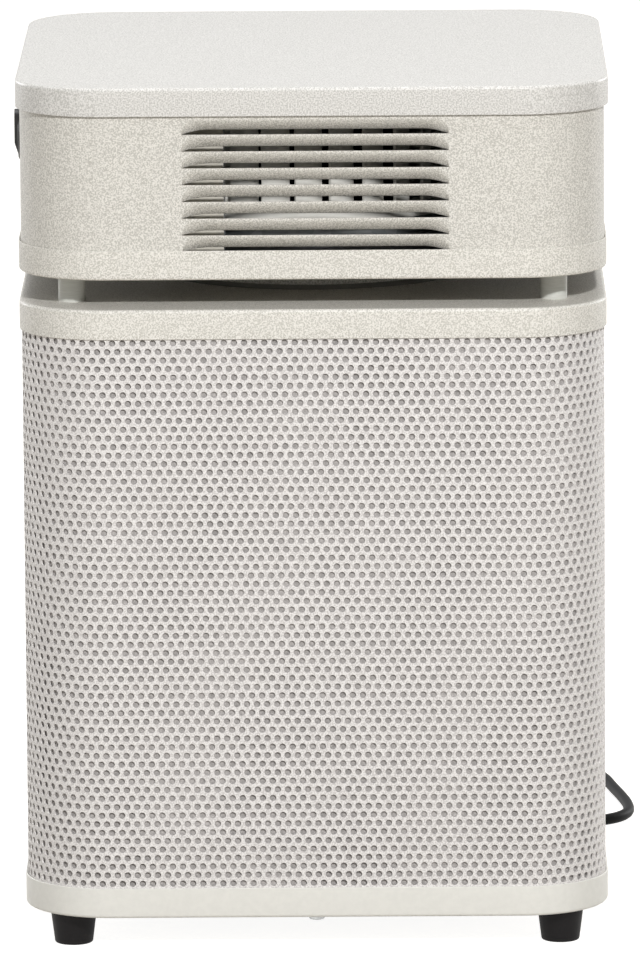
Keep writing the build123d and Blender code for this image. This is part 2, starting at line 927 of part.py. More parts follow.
def make_capacitor_clip():
    z = z_tray_floor + capacitor_radius + 1.0
    band = Cylinder(capacitor_radius + 1.0, 12) - Cylinder(capacitor_radius, 14)
    band = Pos(capacitor_x, service_lane_y, z) * Rot(0, 90, 0) * band
    foot = block(
        capacitor_x - 6,
        capacitor_x + 6,
        service_lane_y - capacitor_radius - 1,
        service_lane_y + capacitor_radius + 1,
        z_tray_floor,
        z_tray_floor + 1.0,
    )
    core = Pos(capacitor_x, service_lane_y, z) * Rot(0, 90, 0) * Cylinder(capacitor_radius, 14)
    return band + foot - core


def make_terminal_block():
    y0 = service_lane_y - terminal_width / 2
    y1 = service_lane_y + terminal_width / 2
    top = z_tray_floor + terminal_height
    body = block(terminal_x, terminal_x + terminal_length, y0, y1, z_tray_floor, top)
    for way in range(3):
        body -= disc(2.6, top - 3, top + 1, terminal_way_x(way), service_lane_y)
    return body


def terminal_way_x(way):
    return terminal_x + terminal_length * (way + 0.5) / 3


def make_internal_wires():
    """Two leads from the terminal block to the switch, and the mains core that feeds it."""
    y = service_lane_y
    top = z_tray_floor + terminal_height
    z_lane = top + wire_lane_rise
    tag_x = -inner_half + switch_depth + tag_length / 2
    tag_y = knob_y + switch_tag_y
    corner_x = -inner_half + wire_corner_inset
    wires = []
    for way, tag_z in enumerate(switch_tag_offsets()[:2]):
        x = terminal_way_x(way)
        rise = wire_spacing * way
        reach = x - corner_x - 18
        route = [
            (x, y, top - 3),
            (x, y, top + 11),
            (x - 0.12 * reach, y + 1 + rise / 2, z_lane + rise),
            (x - 0.4 * reach, y + 2 + rise / 2, z_lane + 1 + rise),
            (x - 0.7 * reach, y + 1 + rise / 2, z_lane - 1 + rise),
            (corner_x + 18 + rise, y - 4 + rise / 2, z_lane + rise),
            (corner_x + 4 + rise, y - 20, z_lane + rise),
            (corner_x + rise, (y + tag_y - 8) / 2, (z_lane + rise + knob_z + tag_z) / 2),
            (tag_x, tag_y + 16, knob_z + tag_z),
            (tag_x, tag_y, knob_z + tag_z),
        ]
        wires.append(tube(route, wire_diameter))
    x = terminal_way_x(2)
    inner_end = inner_half - relief_inner_length
    mains = [
        (relief_x, inner_end, relief_z),
        (relief_x, inner_end - 7, relief_z),
        (relief_x - 6, y - 1, relief_z + 4),
        (x + 1, y, relief_z + 2),
        (x, y, top + 3),
        (x, y, top - 3),
    ]
    wires.append(tube(mains, wire_diameter))
    return compound(wires)


# ---------------------------------------------------------------- mains lead


def make_strain_relief():
    """Tapered sleeve that holds the lead in the back wall of the head."""
    flange = disc(relief_flange_radius, 0, relief_flange_thickness)
    flange = fillet(flange.edges().group_by(Axis.Z)[-1], 1.0)
    taper_length = relief_length - relief_flange_thickness
    taper = Pos(0, 0, relief_flange_thickness) * Cone(
        relief_root_radius, relief_tip_radius, taper_length, align=BOTTOM
    )
    inner = disc(relief_root_radius, -sheet - relief_inner_length, 0)
    catch = disc(relief_root_radius + 1.2, -sheet - 0.8 * relief_inner_length, -sheet)
    shape = flange + taper + inner + catch
    return Pos(relief_x, band_half, relief_z) * Rot(-90, 0, 0) * shape


def floor_z():
    return cord_diameter / 2 + 0.1


def cord_exit():
    return (relief_x, band_half + relief_length, relief_z)


def coil_outer_radius():
    return coil_mean_radius + coil_columns * cord_diameter / 2


def coil_inner_radius():
    return coil_mean_radius - coil_columns * cord_diameter / 2


def coil_height():
    return cord_diameter * (1 + math.sin(math.radians(60)))


def coil_floor_z():
    return coil_lift + cord_diameter / 2


def make_cord_lead():
    """The lead from the strain relief down to the floor, in a loose bend and to the coil."""
    lay = floor_z()
    route = [
        cord_exit(),
        (55.0, 190.0, 345.0),
        (55.3, 209.0, 327.0),
        (56.5, 214.5, 294.0),
        (57.6, 211.0, 246.0),
        (57.0, 206.0, 194.0),
        (56.4, 203.5, 142.0),
        (57.5, 204.0, 96.0),
        (60.5, 208.0, 56.0),
        (65.0, 219.0, 23.0),
        (71.0, 239.0, lay + 0.6),
        (77.0, 264.0, lay),
        (89.5, 283.5, lay),
        (111.0, 291.5, lay),
        (132.5, 285.0, lay),
        (145.5, 265.5, lay),
        (148.5, 236.0, lay),
        (154.5, 206.0, lay),
        (158.0, 182.0, lay),
        (149.8, 160.5, lay),
        (129.4, 148.6, lay),
        (104.0, 147.8, lay),
        (72.0, 149.5, lay),
        (40.0, 147.6, lay + 0.3),
        (8.0, 149.2, coil_floor_z()),
        (coil_x, coil_y - coil_outer_radius() + cord_diameter / 2, coil_floor_z()),
    ]
    return tube(route, cord_diameter, "cord_lead")


def make_cord_coil():
    """Outer shape of the bundle of turns that takes up the rest of the lead."""
    z0 = coil_lift
    z1 = coil_lift + coil_height()
    bundle = ring(coil_outer_radius(), coil_inner_radius(), z0, z1, coil_x, coil_y)
    return fillet(bundle.edges().filter_by(GeomType.CIRCLE), cord_diameter * 0.45)


def make_coil_tie():
    """Flat strap closed round the bundle on its far side."""
    wall = coil_lift - tie_gap
    half = tie_width / 2
    y = coil_y + coil_mean_radius
    depth = coil_columns * cord_diameter / 2 + 3 * tie_gap
    z0 = coil_lift - tie_gap
    z1 = coil_lift + coil_height() + tie_gap
    left = coil_x - half
    right = coil_x + half
    outer = block(left, right, y - depth - wall, y + depth + wall, z0 - wall, z1 + wall)
    outer = fillet(outer.edges().filter_by(Axis.X), wall)
    return outer - block(left - 1, right + 1, y - depth, y + depth, z0, z1)


def plug_z():
    return plug_thickness / 2 + 0.1


def tail_x():
    return coil_x - coil_outer_radius() + cord_diameter / 2


def plug_x():
    return tail_x() + plug_side_step


def make_cord_tail():
    z1 = coil_lift + coil_height() - cord_diameter / 2
    route = [
        (tail_x(), coil_y + 1.0, z1),
        (tail_x() - 0.8, coil_y + 13.0, z1 + 0.4),
        (plug_x(), plug_y - 11.0, plug_z()),
        (plug_x(), plug_y, plug_z()),
    ]
    return tube(route, cord_diameter, "cord_tail")


def make_plug_body():
    """Moulded plug: a rounded grip block behind a round neck."""
    x = plug_x()
    y0 = plug_y + plug_neck_length
    body = Box(plug_width, plug_length, plug_thickness)
    body = fillet(body.edges().filter_by(Axis.Y), 5.0)
    body = fillet(body.edges().group_by(Axis.Y)[0], 2.0)
    neck = Cylinder(plug_neck_radius, plug_neck_length + 1)
    neck = Pos(x, plug_y + (plug_neck_length + 1) / 2, plug_z()) * Rot(90, 0, 0) * neck
    return Pos(x, y0 + plug_length / 2, plug_z()) * body + neck


def plug_face_y():
    return plug_y + plug_neck_length + plug_length


def make_plug_blades():
    """Two flat parallel blades."""
    z = plug_z() + blade_rise
    y = plug_face_y()
    half = blade_width / 2
    blades = []
    for side in (-1, 1):
        x = plug_x() + side * blade_spacing / 2
        x0 = x - blade_gauge / 2
        blades.append(block(x0, x0 + blade_gauge, y, y + blade_length, z - half, z + half))
    return compound(blades)


def make_plug_pin():
    """Round earth pin below the blades."""
    pin = Cylinder(earth_pin_radius, earth_pin_length)
    pin = fillet(pin.edges().group_by(Axis.Z)[0], 1.2)
    z = plug_z() + blade_rise - earth_pin_drop
    y = plug_face_y() + earth_pin_length / 2
    return Pos(plug_x(), y, z) * Rot(90, 0, 0) * pin


PIECES = {
    "lid": make_lid,
    "lid_screws": make_lid_screws,
    "head_band": make_head_band,
    "head_tray": make_head_tray,
    "neck_flange": make_neck_flange,
    "neck_collar": make_neck_collar,
    "neck_seal": make_neck_seal,
    "spacer_posts": make_spacer_posts,
    "head_bolts": make_head_bolts,
    "head_nuts": make_head_nuts,
    "body_cap": make_body_cap,
    "perforated_shell": make_perforated_shell,
    "base_brackets": make_base_brackets,
    "base_screws": make_base_screws,
    "base_pan": make_base_pan,
    "rubber_feet": make_rubber_feet,
    "foot_screws": make_foot_screws,
    "foot_nuts": make_foot_nuts,
    "prefilter": make_prefilter,
    "filter_outer_screen": make_filter_outer_screen,
    "carbon_bed": make_carbon_bed,
    "filter_middle_screen": make_filter_middle_screen,
    "hepa_pack": make_hepa_pack,
    "filter_core": make_filter_core,
    "filter_top_cap": make_filter_top_cap,
    "filter_bottom_cap": make_filter_bottom_cap,
    "filter_top_gasket": make_filter_top_gasket,
    "filter_bottom_gasket": make_filter_bottom_gasket,
    "scroll_wall": make_scroll_wall,
    "fan_base_plate": make_fan_base_plate,
    "motor_plate": make_motor_plate,
    "fan_studs": make_fan_studs,
    "fan_nuts": make_fan_nuts,
    "fan_isolators": make_fan_isolators,
    "inlet_seal": make_inlet_seal,
    "inlet_ring": make_inlet_ring,
    "outlet_frame": make_outlet_frame,
    "impeller": make_impeller,
    "rotor_can": make_rotor_can,
    "motor_shaft": make_motor_shaft,
    "motor_stator": make_motor_stator,
    "motor_bearings": make_motor_bearings,
    "motor_screws": make_motor_screws,
    "rotary_switch": make_rotary_switch,
    "switch_nut": make_switch_nut,
    "dial_plate": make_dial_plate,
    "speed_knob": make_speed_knob,
    "switch_shaft": make_switch_shaft,
    "capacitor": make_capacitor,
    "capacitor_clip": make_capacitor_clip,
    "terminal_block": make_terminal_block,
    "internal_wires": make_internal_wires,
    "strain_relief": make_strain_relief,
    "cord_lead": make_cord_lead,
    "cord_coil": make_cord_coil,
    "coil_tie": make_coil_tie,
    "cord_tail": make_cord_tail,
    "plug_body": make_plug_body,
    "plug_blades": make_plug_blades,
    "plug_pin": make_plug_pin,
}


os.makedirs("parts", exist_ok=True)
for name, make in PIECES.items():
    export_step(make(), f"parts/{name}.step")
print(len(PIECES), "pieces")
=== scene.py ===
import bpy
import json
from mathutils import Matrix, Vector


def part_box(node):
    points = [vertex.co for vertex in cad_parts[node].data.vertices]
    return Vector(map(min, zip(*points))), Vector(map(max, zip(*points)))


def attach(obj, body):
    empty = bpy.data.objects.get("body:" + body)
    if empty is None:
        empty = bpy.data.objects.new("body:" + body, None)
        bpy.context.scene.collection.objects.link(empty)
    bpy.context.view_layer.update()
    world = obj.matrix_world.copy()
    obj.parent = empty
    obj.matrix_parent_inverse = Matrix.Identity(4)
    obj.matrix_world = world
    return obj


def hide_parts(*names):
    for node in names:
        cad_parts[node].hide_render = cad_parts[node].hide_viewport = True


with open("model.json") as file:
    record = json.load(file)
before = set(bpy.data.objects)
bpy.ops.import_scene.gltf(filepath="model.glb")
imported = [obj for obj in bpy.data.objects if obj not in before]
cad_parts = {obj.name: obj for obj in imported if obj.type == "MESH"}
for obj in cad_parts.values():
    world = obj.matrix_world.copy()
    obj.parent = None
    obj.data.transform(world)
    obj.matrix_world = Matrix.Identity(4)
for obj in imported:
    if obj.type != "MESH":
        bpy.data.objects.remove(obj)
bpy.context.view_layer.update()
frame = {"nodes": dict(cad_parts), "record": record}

import json
import math

import bpy
import numpy as np
from bpy.props import FloatProperty, FloatVectorProperty, IntProperty, PointerProperty
from mathutils import Matrix, Vector

bl_info = {
    "name": "Room Air Purifier",
    "version": (1, 0, 0),
    "blender": (4, 5, 0),
    "location": "3D Viewport > Sidebar > Air Purifier",
    "description": "Dresses the packed frame of a compact room air purifier",
    "category": "Object",
}

MM = 0.001
TAU = 2 * math.pi


def linear(code):
    """Linear RGBA of an sRGB hex colour."""
    steps = [int(code[i : i + 2], 16) / 255 for i in (0, 2, 4)]
    curve = [s / 12.92 if s <= 0.04045 else ((s + 0.055) / 1.055) ** 2.4 for s in steps]
    return (*curve, 1.0)


# ---- sizes and colours


def number(label, text, default, **kind):
    return FloatProperty(name=label, description=text, default=default, **kind)


def length(label, text, default):
    return number(label, text, default, unit="LENGTH", subtype="DISTANCE")


def integer(label, text, default):
    return IntProperty(name=label, description=text, default=default, min=1)


def colour(label, text, code):
    return FloatVectorProperty(
        name=label, description=text, default=linear(code)[:3], subtype="COLOR", min=0, max=1
    )


class PurifierCase(bpy.types.PropertyGroup):
    sheet: length("Sheet", "Thickness of the case steel", 0.9 * MM)
    bend: length("Bend radius", "Outer radius of the folded edges", 1.6 * MM)
    lid_corner: length("Lid corner", "Plan radius of the lid's corners", 42 * MM)
    hole: length("Hole", "Diameter of a hole inside its coat", 3.1 * MM)
    hole_pitch: length("Hole pitch", "Distance between holes in a row", 4.7625 * MM)
    row_pitch: length("Row pitch", "Distance between rows of holes", 4.1145 * MM)
    hole_start: length("Hole start", "Sideways place of the middle hole", 1.1 * MM)
    row_start: length("Row start", "Height of the lowest row of holes", 28.48 * MM)
    hole_rows: integer("Hole rows", "Rows of holes", 66)
    felt: length("Felt", "Thickness of the felt behind the jacket", 3 * MM)
    felt_wave: length("Felt wave", "How far the felt sags away from the jacket", 0.9 * MM)


class PurifierLouvres(bpy.types.PropertyGroup):
    count: integer("Louvres", "Number of louvres", 8)
    pitch: length("Pitch", "Height from louvre to louvre", 7.94 * MM)
    width: length("Width", "Length of a louvre", 125.2 * MM)
    offset: length("Offset", "Sideways place of the louvres' middle", 1.8 * MM)
    sill: length("Sill", "Height of the lowest slot over the tray's rim", -0.85 * MM)
    slot: length("Slot", "Height cut for one louvre", 7.1 * MM)
    depth: length("Depth", "How far a louvre is pressed inward", 4.7 * MM)
    end: length("End", "Length over which a louvre's opening closes", 13.0 * MM)
    shoulder: length("Shoulder", "Length of a louvre's rounded upper corner", 6.0 * MM)


class PurifierLead(bpy.types.PropertyGroup):
    diameter: length("Diameter", "Diameter of the mains lead", 5.5 * MM)
    whole: length("Length", "Length of the mains lead", 1.83)
    outer_turn: length("Outer turn", "Radius of the coil's widest turn", 37.5 * MM)


class PurifierColours(bpy.types.PropertyGroup):
    # The lid's two tones are cooler than the head's: painted sheen, standing for the white sheen on
    # the lid's top.
    lid_light: colour("Lid light", "Light grain of the lid's coat", "EAE8E4")
    lid_dark: colour("Lid dark", "Dark grain of the lid's coat", "C2C0BB")
    head_light: colour("Head light", "Light grain of the head's coat", "EAE7E0")
    head_dark: colour("Head dark", "Dark grain of the head's coat", "C0BDB5")
    coat_light: colour("Coat light", "Light grain of the tray's and cap's coat", "F2EFE8")
    coat_dark: colour("Coat dark", "Dark grain of the tray's and cap's coat", "C9C6BD")
    jacket_light: colour("Jacket light", "Light grain of the jacket's coat", "F4F1EF")
    jacket_dark: colour("Jacket dark", "Dark grain of the jacket's coat", "D6D2D0")
    base: colour("Base", "Smooth enamel of the base pan", "ECEBE5")
    felt: colour("Felt", "Felt behind the jacket", "CDC9C7")
    rubber: colour("Rubber", "Feet and strain relief", "0C0A0B")
    lead: colour("Lead", "Jacket of the mains lead", "070707")


class PurifierStage(bpy.types.PropertyGroup):
    distance: length("Camera distance", "Camera to object", 5.0)
    lens: number("Lens", "Focal length, mm", 390.1)
    pitch: number("Pitch", "Camera's tilt down", math.radians(9.98), unit="ROTATION")
    yaw: number("Yaw", "Camera's swing", 0.00606, unit="ROTATION")
    roll: number("Roll", "Camera's roll", -0.00714, unit="ROTATION")
    sky: number("Sky", "Strength of the room's light", 0.12)
    key: number("Key", "Power of the front softbox, W", 57.2)
    fill: number("Fill", "Power of the side softbox, W", 7.0)
    rear: number("Rear", "Power of each rear softbox, W", 30.0)
    top: number("Top", "Power of the overhead softbox, W", 29.5)


# ---- meshes


def outline(side, radius, s):
    """Points and outward normals round a square with rounded corners.

    s runs anticlockwise from the middle of the front. In each quarter the first stretch is the
    straight side and the rest is an arc of the corner radius, turned by the quarter's angle.
    """
    flat = side - 2 * radius
    quarter = flat + radius * math.pi / 2
    along = np.mod(s + flat / 2, 4 * quarter)
    turn = np.floor(along / quarter)
    t = along - turn * quarter
    angle = np.clip((t - flat) / radius, 0, math.pi / 2)
    x = np.minimum(t, flat) - flat / 2 + radius * np.sin(angle)
    y = -side / 2 + radius - radius * np.cos(angle)
    c, k = np.cos(turn * math.pi / 2), np.sin(turn * math.pi / 2)
    nx, ny = np.sin(angle), -np.cos(angle)
    points = np.stack([c * x - k * y, k * x + c * y], -1)
    normals = np.stack([c * nx - k * ny, k * nx + c * ny], -1)
    return points, normals


def outline_length(side, radius):
    return 4 * (side - 2 * radius) + TAU * radius


def outline_stations(side, radius, per_flat, per_corner):
    """Arc lengths round the outline, closer together in the corners than on the flats."""
    flat, arc = side - 2 * radius, radius * math.pi / 2
    straight = np.linspace(-flat / 2, flat / 2, per_flat, endpoint=False)
    bent = flat / 2 + np.linspace(0, arc, per_corner, endpoint=False)
    return np.concatenate([s + k * (flat + arc) for k in range(4) for s in (straight, bent)])


def wall(side, radius, s, inset, z):
    """Points round the outline at arc lengths s, moved inward by an inset, at heights z."""
    plan, normal = outline(side, radius, s)
    return np.concatenate([plan - inset[..., None] * normal, z[..., None]], -1)


def plan_of(node):
    """Side of a CAD node's box, and the corner radius that keeps it parallel to the lid."""
    low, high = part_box(node)
    lid_low, lid_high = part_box("lid")
    side = high.x - low.x
    corner = bpy.context.scene.purifier_case.lid_corner
    return side, corner - (lid_high.x - lid_low.x - side) / 2


def quads(ids, wrap_rows=False, wrap_columns=False):
    """Quads between neighbours of a grid of vertex numbers."""
    if wrap_rows:
        ids = np.concatenate([ids, ids[:1]], 0)
    if wrap_columns:
        ids = np.concatenate([ids, ids[:, :1]], 1)
    corners = [ids[:-1, :-1], ids[:-1, 1:], ids[1:, 1:], ids[1:, :-1]]
    return np.stack([c.ravel() for c in corners], -1)


def shell(outer, inner, faces):
    """Closes an outer and an inner skin with the same faces by walls along every open edge."""
    n = len(outer)
    edges = np.concatenate([np.stack([f, np.roll(f, -1, 1)], -1).reshape(-1, 2) for f in faces])
    forward = edges[:, 0].astype(np.int64) * n + edges[:, 1]
    backward = edges[:, 1].astype(np.int64) * n + edges[:, 0]
    a, b = edges[~np.isin(forward, backward)].T
    walls = np.stack([b, a, a + n, b + n], -1)
    return np.concatenate([outer, inner]), [*faces, *[f[:, ::-1] + n for f in faces], walls]


def tidy(points, faces):
    """Merges coincident vertices, drops unused ones and removes the faces that this closes up."""
    keys = np.round(points / 1e-7).astype(np.int64)
    _, first, back = np.unique(keys, axis=0, return_index=True, return_inverse=True)
    back = back.ravel()
    kept = []
    for f in faces:
        f = back[f]
        same = f == np.roll(f, -1, 1)
        kept.append(f[~same.any(1)])
        if f.shape[1] == 4:
            pinched = f[same.sum(1) == 1]
            hole = np.argmax(pinched == np.roll(pinched, -1, 1), 1)
            order = (hole[:, None] + 1 + np.arange(3)) % 4
            kept.append(np.take_along_axis(pinched, order, 1))
    used, flat = np.unique(np.concatenate([f.ravel() for f in kept]), return_inverse=True)
    flat = flat.ravel()
    out, at = [], 0
    for f in kept:
        out.append(flat[at : at + f.size].reshape(f.shape))
        at += f.size
    return points[first][used], [f for f in out if len(f)]


def volume(points, faces):
    """Signed volume inside closed faces, as fans of tetrahedra from the origin."""
    total = 0.0
    for f in faces:
        a = points[f[:, 0]]
        for k in range(1, f.shape[1] - 1):
            total += np.einsum("ij,ij->", a, np.cross(points[f[:, k]], points[f[:, k + 1]])) / 6
    return total


def piece(name, points, faces, finish, replaces=(), crease=35):
    """Makes one object at the origin from vertex and face arrays, and ties it to the housing."""
    points, faces = tidy(points, faces)
    if volume(points, faces) < 0:
        faces = [f[:, ::-1] for f in faces]
    mesh = bpy.data.meshes.new(name)
    loops = np.concatenate([f.ravel() for f in faces])
    sizes = np.concatenate([np.full(len(f), f.shape[1]) for f in faces])
    mesh.vertices.add(len(points))
    mesh.vertices.foreach_set("co", points.astype(np.float32).ravel())
    mesh.loops.add(len(loops))
    mesh.loops.foreach_set("vertex_index", loops.astype(np.int32))
    mesh.polygons.add(len(sizes))
    starts = np.concatenate([[0], np.cumsum(sizes)[:-1]])
    mesh.polygons.foreach_set("loop_start", starts.astype(np.int32))
    mesh.update(calc_edges=True)
    if mesh.validate():
        raise RuntimeError(f"{name} had faces that are not valid")
    mesh.polygons.foreach_set("use_smooth", np.ones(len(sizes), bool))
    mesh.set_sharp_from_angle(angle=math.radians(crease))
    mesh.materials.append(FINISHES[finish])
    made = bpy.data.objects.new(name, mesh)
    bpy.context.scene.collection.objects.link(made)
    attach(made, "housing")
    if replaces:
        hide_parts(*replaces)
    return made


def woven(grid, **wrap):
    """Vertices and quads of a grid of points."""
    ids = np.arange(grid[..., 0].size).reshape(grid.shape[:2])
    return grid.reshape(-1, 3), [quads(ids, **wrap)]


def lathe(origin, profile, steps=48):
    """Profile of (radius, reach) turned about a line along y, closed by a pole at each end."""
    profile = np.concatenate([[[0, profile[0, 1]]], profile, [[0, profile[-1, 1]]]])
    radius, reach = profile.T[:, :, None]
    angle = np.linspace(0, TAU, steps, endpoint=False)
    x, z = radius * np.cos(angle), -radius * np.sin(angle)
    return woven(np.asarray(origin) + np.stack([x, reach + 0 * x, z], -1), wrap_columns=True)


def pressed_pan(side, radius, z_plate, z_rim, hole=0.0):
    """Folded sheet pan, as a section carried round the rounded square.

    The section is a plate, a quarter-circle bend and a skirt, one sheet thick. A section point
    is an inset and a height; the plate's inner points are pulled from the inset outline to the
    round air hole, or to the middle where there is none. The rim is slightly chamfered.
    """
    case = bpy.context.scene.purifier_case
    t, bend, edge, margin = case.sheet, case.bend, 0.15 * MM, 20 * MM
    up = 1 if z_plate > z_rim else -1
    high = abs(z_plate - z_rim)
    inner_arc, outer_arc = (
        [
            (bend - size * math.cos(a), high - bend + size * math.sin(a), 0)
            for a in np.linspace(0, math.pi / 2, 8)
        ]
        for size in (bend - t, bend)
    )
    section = [(margin, high - t, 1), (margin, high - t, 0.5), (margin, high - t, 0)]
    section += inner_arc[::-1]
    section += [(t, edge, 0), (t - edge, 0, 0), (edge, 0, 0), (0, edge, 0)]
    section += outer_arc
    section += [(margin, high, 0), (margin, high, 0.5), (margin, high, 1)]
    inset, height, pull = np.array(section).T[:, :, None]
    points, normals = outline(side, radius, outline_stations(side, radius, 14, 22))
    base = points[None] - inset[..., None] * normals[None]
    middle = hole * points / np.linalg.norm(points, axis=1, keepdims=True)
    plan = (1 - pull[..., None]) * base + pull[..., None] * middle[None]
    z = np.broadcast_to(z_rim + up * height, plan.shape[:2])
    grid = np.concatenate([plan, z[..., None]], -1)
    return woven(grid, wrap_rows=hole > 0, wrap_columns=True)


# ---- finishes


def add(tree, kind, settings=(), inputs=()):
    """Adds one node, with its settings, and a value or a link for each input named."""
    made = tree.nodes.new(kind)
    for key, value in dict(settings).items():
        setattr(made, key, value)
    for key, value in dict(inputs).items():
        if isinstance(value, bpy.types.NodeSocket):
            tree.links.new(value, made.inputs[key])
        else:
            made.inputs[key].default_value = value
    return made


def blank(name, roughness, metallic=0.0, **sockets):
    """A material with one shader, and what its patterns are laid on: the object's own place."""
    made = bpy.data.materials.new(name)
    made.use_nodes = True
    tree = made.node_tree
    tree.nodes.clear()
    sockets = {"Roughness": roughness, "Metallic": metallic, **sockets}
    shader = add(tree, "ShaderNodeBsdfPrincipled", inputs=sockets)
    add(tree, "ShaderNodeOutputMaterial", inputs={"Surface": shader.outputs[0]})
    place = add(tree, "ShaderNodeTexCoord").outputs["Object"]
    return made, tree, shader, place


def two_tones(tree, shader, pattern, dark, light, low=0.35, high=0.65):
    """Base colour that follows a pattern from dark to light between two of its values."""
    values = {"Value": pattern, "From Min": low, "From Max": high}
    tones = {0: add(tree, "ShaderNodeMapRange", inputs=values).outputs[0], 6: dark, 7: light}
    mix = add(tree, "ShaderNodeMix", {"data_type": "RGBA"}, tones)
    tree.links.new(mix.outputs[2], shader.inputs["Base Color"])


def raise_by(tree, shader, pattern, height):
    """Bump from a pattern, its height in millimetres."""
    bump = add(tree, "ShaderNodeBump", inputs={"Distance": height * MM, "Height": pattern})
    tree.links.new(bump.outputs[0], shader.inputs["Normal"])


def noise(tree, place, grain, detail, roughness):
    """Soft noise whose grains have a real size in millimetres."""
    scale = 1 / (grain * MM)
    inputs = {"Vector": place, "Scale": scale, "Detail": detail, "Roughness": roughness}
    return add(tree, "ShaderNodeTexNoise", inputs=inputs).outputs[0]


def grained(
    name, dark, light, grain, height, roughness, metallic=0.0, stretch=(1, 1, 1), **sockets
):
    """Material with one noise grain, in millimetres, that gives both its tone and its relief."""
    made, tree, shader, place = blank(name, roughness, metallic, **sockets)
    mapped = add(tree, "ShaderNodeMapping", inputs={"Vector": place, "Scale": stretch})
    grains = noise(tree, mapped.outputs[0], grain, 3.0, 0.6)
    two_tones(tree, shader, grains, dark, light)
    raise_by(tree, shader, grains, height)
    return made


def coded(name, dark, light, *rest, **sockets):
    """Material of one noise grain, its two tones given as hex codes."""
    return grained(name, linear(dark), linear(light), *rest, **sockets)


def crystals(tree, shader, place, grain, dark, light, height):
    """Cells of a size in millimetres, each in its own tone, and raised round its middle."""
    cells = add(tree, "ShaderNodeTexVoronoi", inputs={"Vector": place, "Scale": 1 / (grain * MM)})
    tone = add(tree, "ShaderNodeRGBToBW", inputs={0: cells.outputs["Color"]})
    two_tones(tree, shader, tone.outputs[0], linear(dark), linear(light), 0.2, 0.8)
    raise_by(tree, shader, cells.outputs["Distance"], height)


def rgba(property_colour, share=1.0):
    """Linear RGBA of a colour property, or of a share of its brightness."""
    return (*(min(1.0, share * c) for c in property_colour), 1.0)


def sandy_powder_coat(name, part, roughness=0.45):
    """Polyester powder, sprayed on steel and baked: a fine sandy relief in two creams."""
    tones = bpy.context.scene.purifier_colours
    dark, light = (rgba(getattr(tones, f"{part}_{tone}")) for tone in ("dark", "light"))
    made, tree, shader, place = blank(name, roughness)
    grains = noise(tree, place, 0.72, 1.5, 0.5)
    two_tones(tree, shader, grains, dark, light, 0.4, 0.6)
    raise_by(tree, shader, grains, 0.03)
    return made


def thinly_coated_below(name, part, edge):
    """Polyester powder sprayed on steel: sandy cream, with dull grey below an edge as painted
    shade, which darkens the gap under the head.
    """
    made = sandy_powder_coat(name, part)
    tree = made.node_tree
    shader = next(node for node in tree.nodes if node.type == "BSDF_PRINCIPLED")
    coat = shader.inputs["Base Color"].links[0].from_socket
    place = add(tree, "ShaderNodeTexCoord").outputs["Object"]
    height = add(tree, "ShaderNodeSeparateXYZ", inputs={0: place}).outputs["Z"]
    # Below the edge the colour is a dull grey: painted shade for the gap under the head.
    two_tones(tree, shader, height, linear("8F8B81"), coat, edge, edge + 0.3 * MM)
    return made


def needled_felt():
    """Needle-punched polyester: matt pale grey fibres that lie in soft patches."""
    tones = bpy.context.scene.purifier_colours
    made, tree, shader, place = blank("needled_polyester_felt", 0.95, **{"Sheen Weight": 0.2})
    fibres = noise(tree, place, 0.8, 5.0, 0.7)
    shares = {0: noise(tree, place, 6, 3.0, 0.6), 1: 0.6, 2: fibres}
    both = add(tree, "ShaderNodeMath", {"operation": "MULTIPLY_ADD"}, shares).outputs[0]
    two_tones(tree, shader, both, rgba(tones.felt, 0.55), rgba(tones.felt), 0.58, 0.98)
    raise_by(tree, shader, fibres, 0.3)
    return made


def galvanised_sheet():
    """Hot-dip galvanised steel: grey metal in patches of crystals a few millimetres across."""
    made, tree, shader, place = blank("galvanised_sheet_steel", 0.45, 1.0)
    crystals(tree, shader, place, 7, "A9ACAE", "C2C4C5", 0.02)
    return made


def carbon_granules():
    """Crushed activated carbon: matt black grains of about two millimetres."""
    made, tree, shader, place = blank("activated_carbon_granules", 0.85)
    crystals(tree, shader, place, 2, "141414", "2C2B2A", 0.8)
    return made


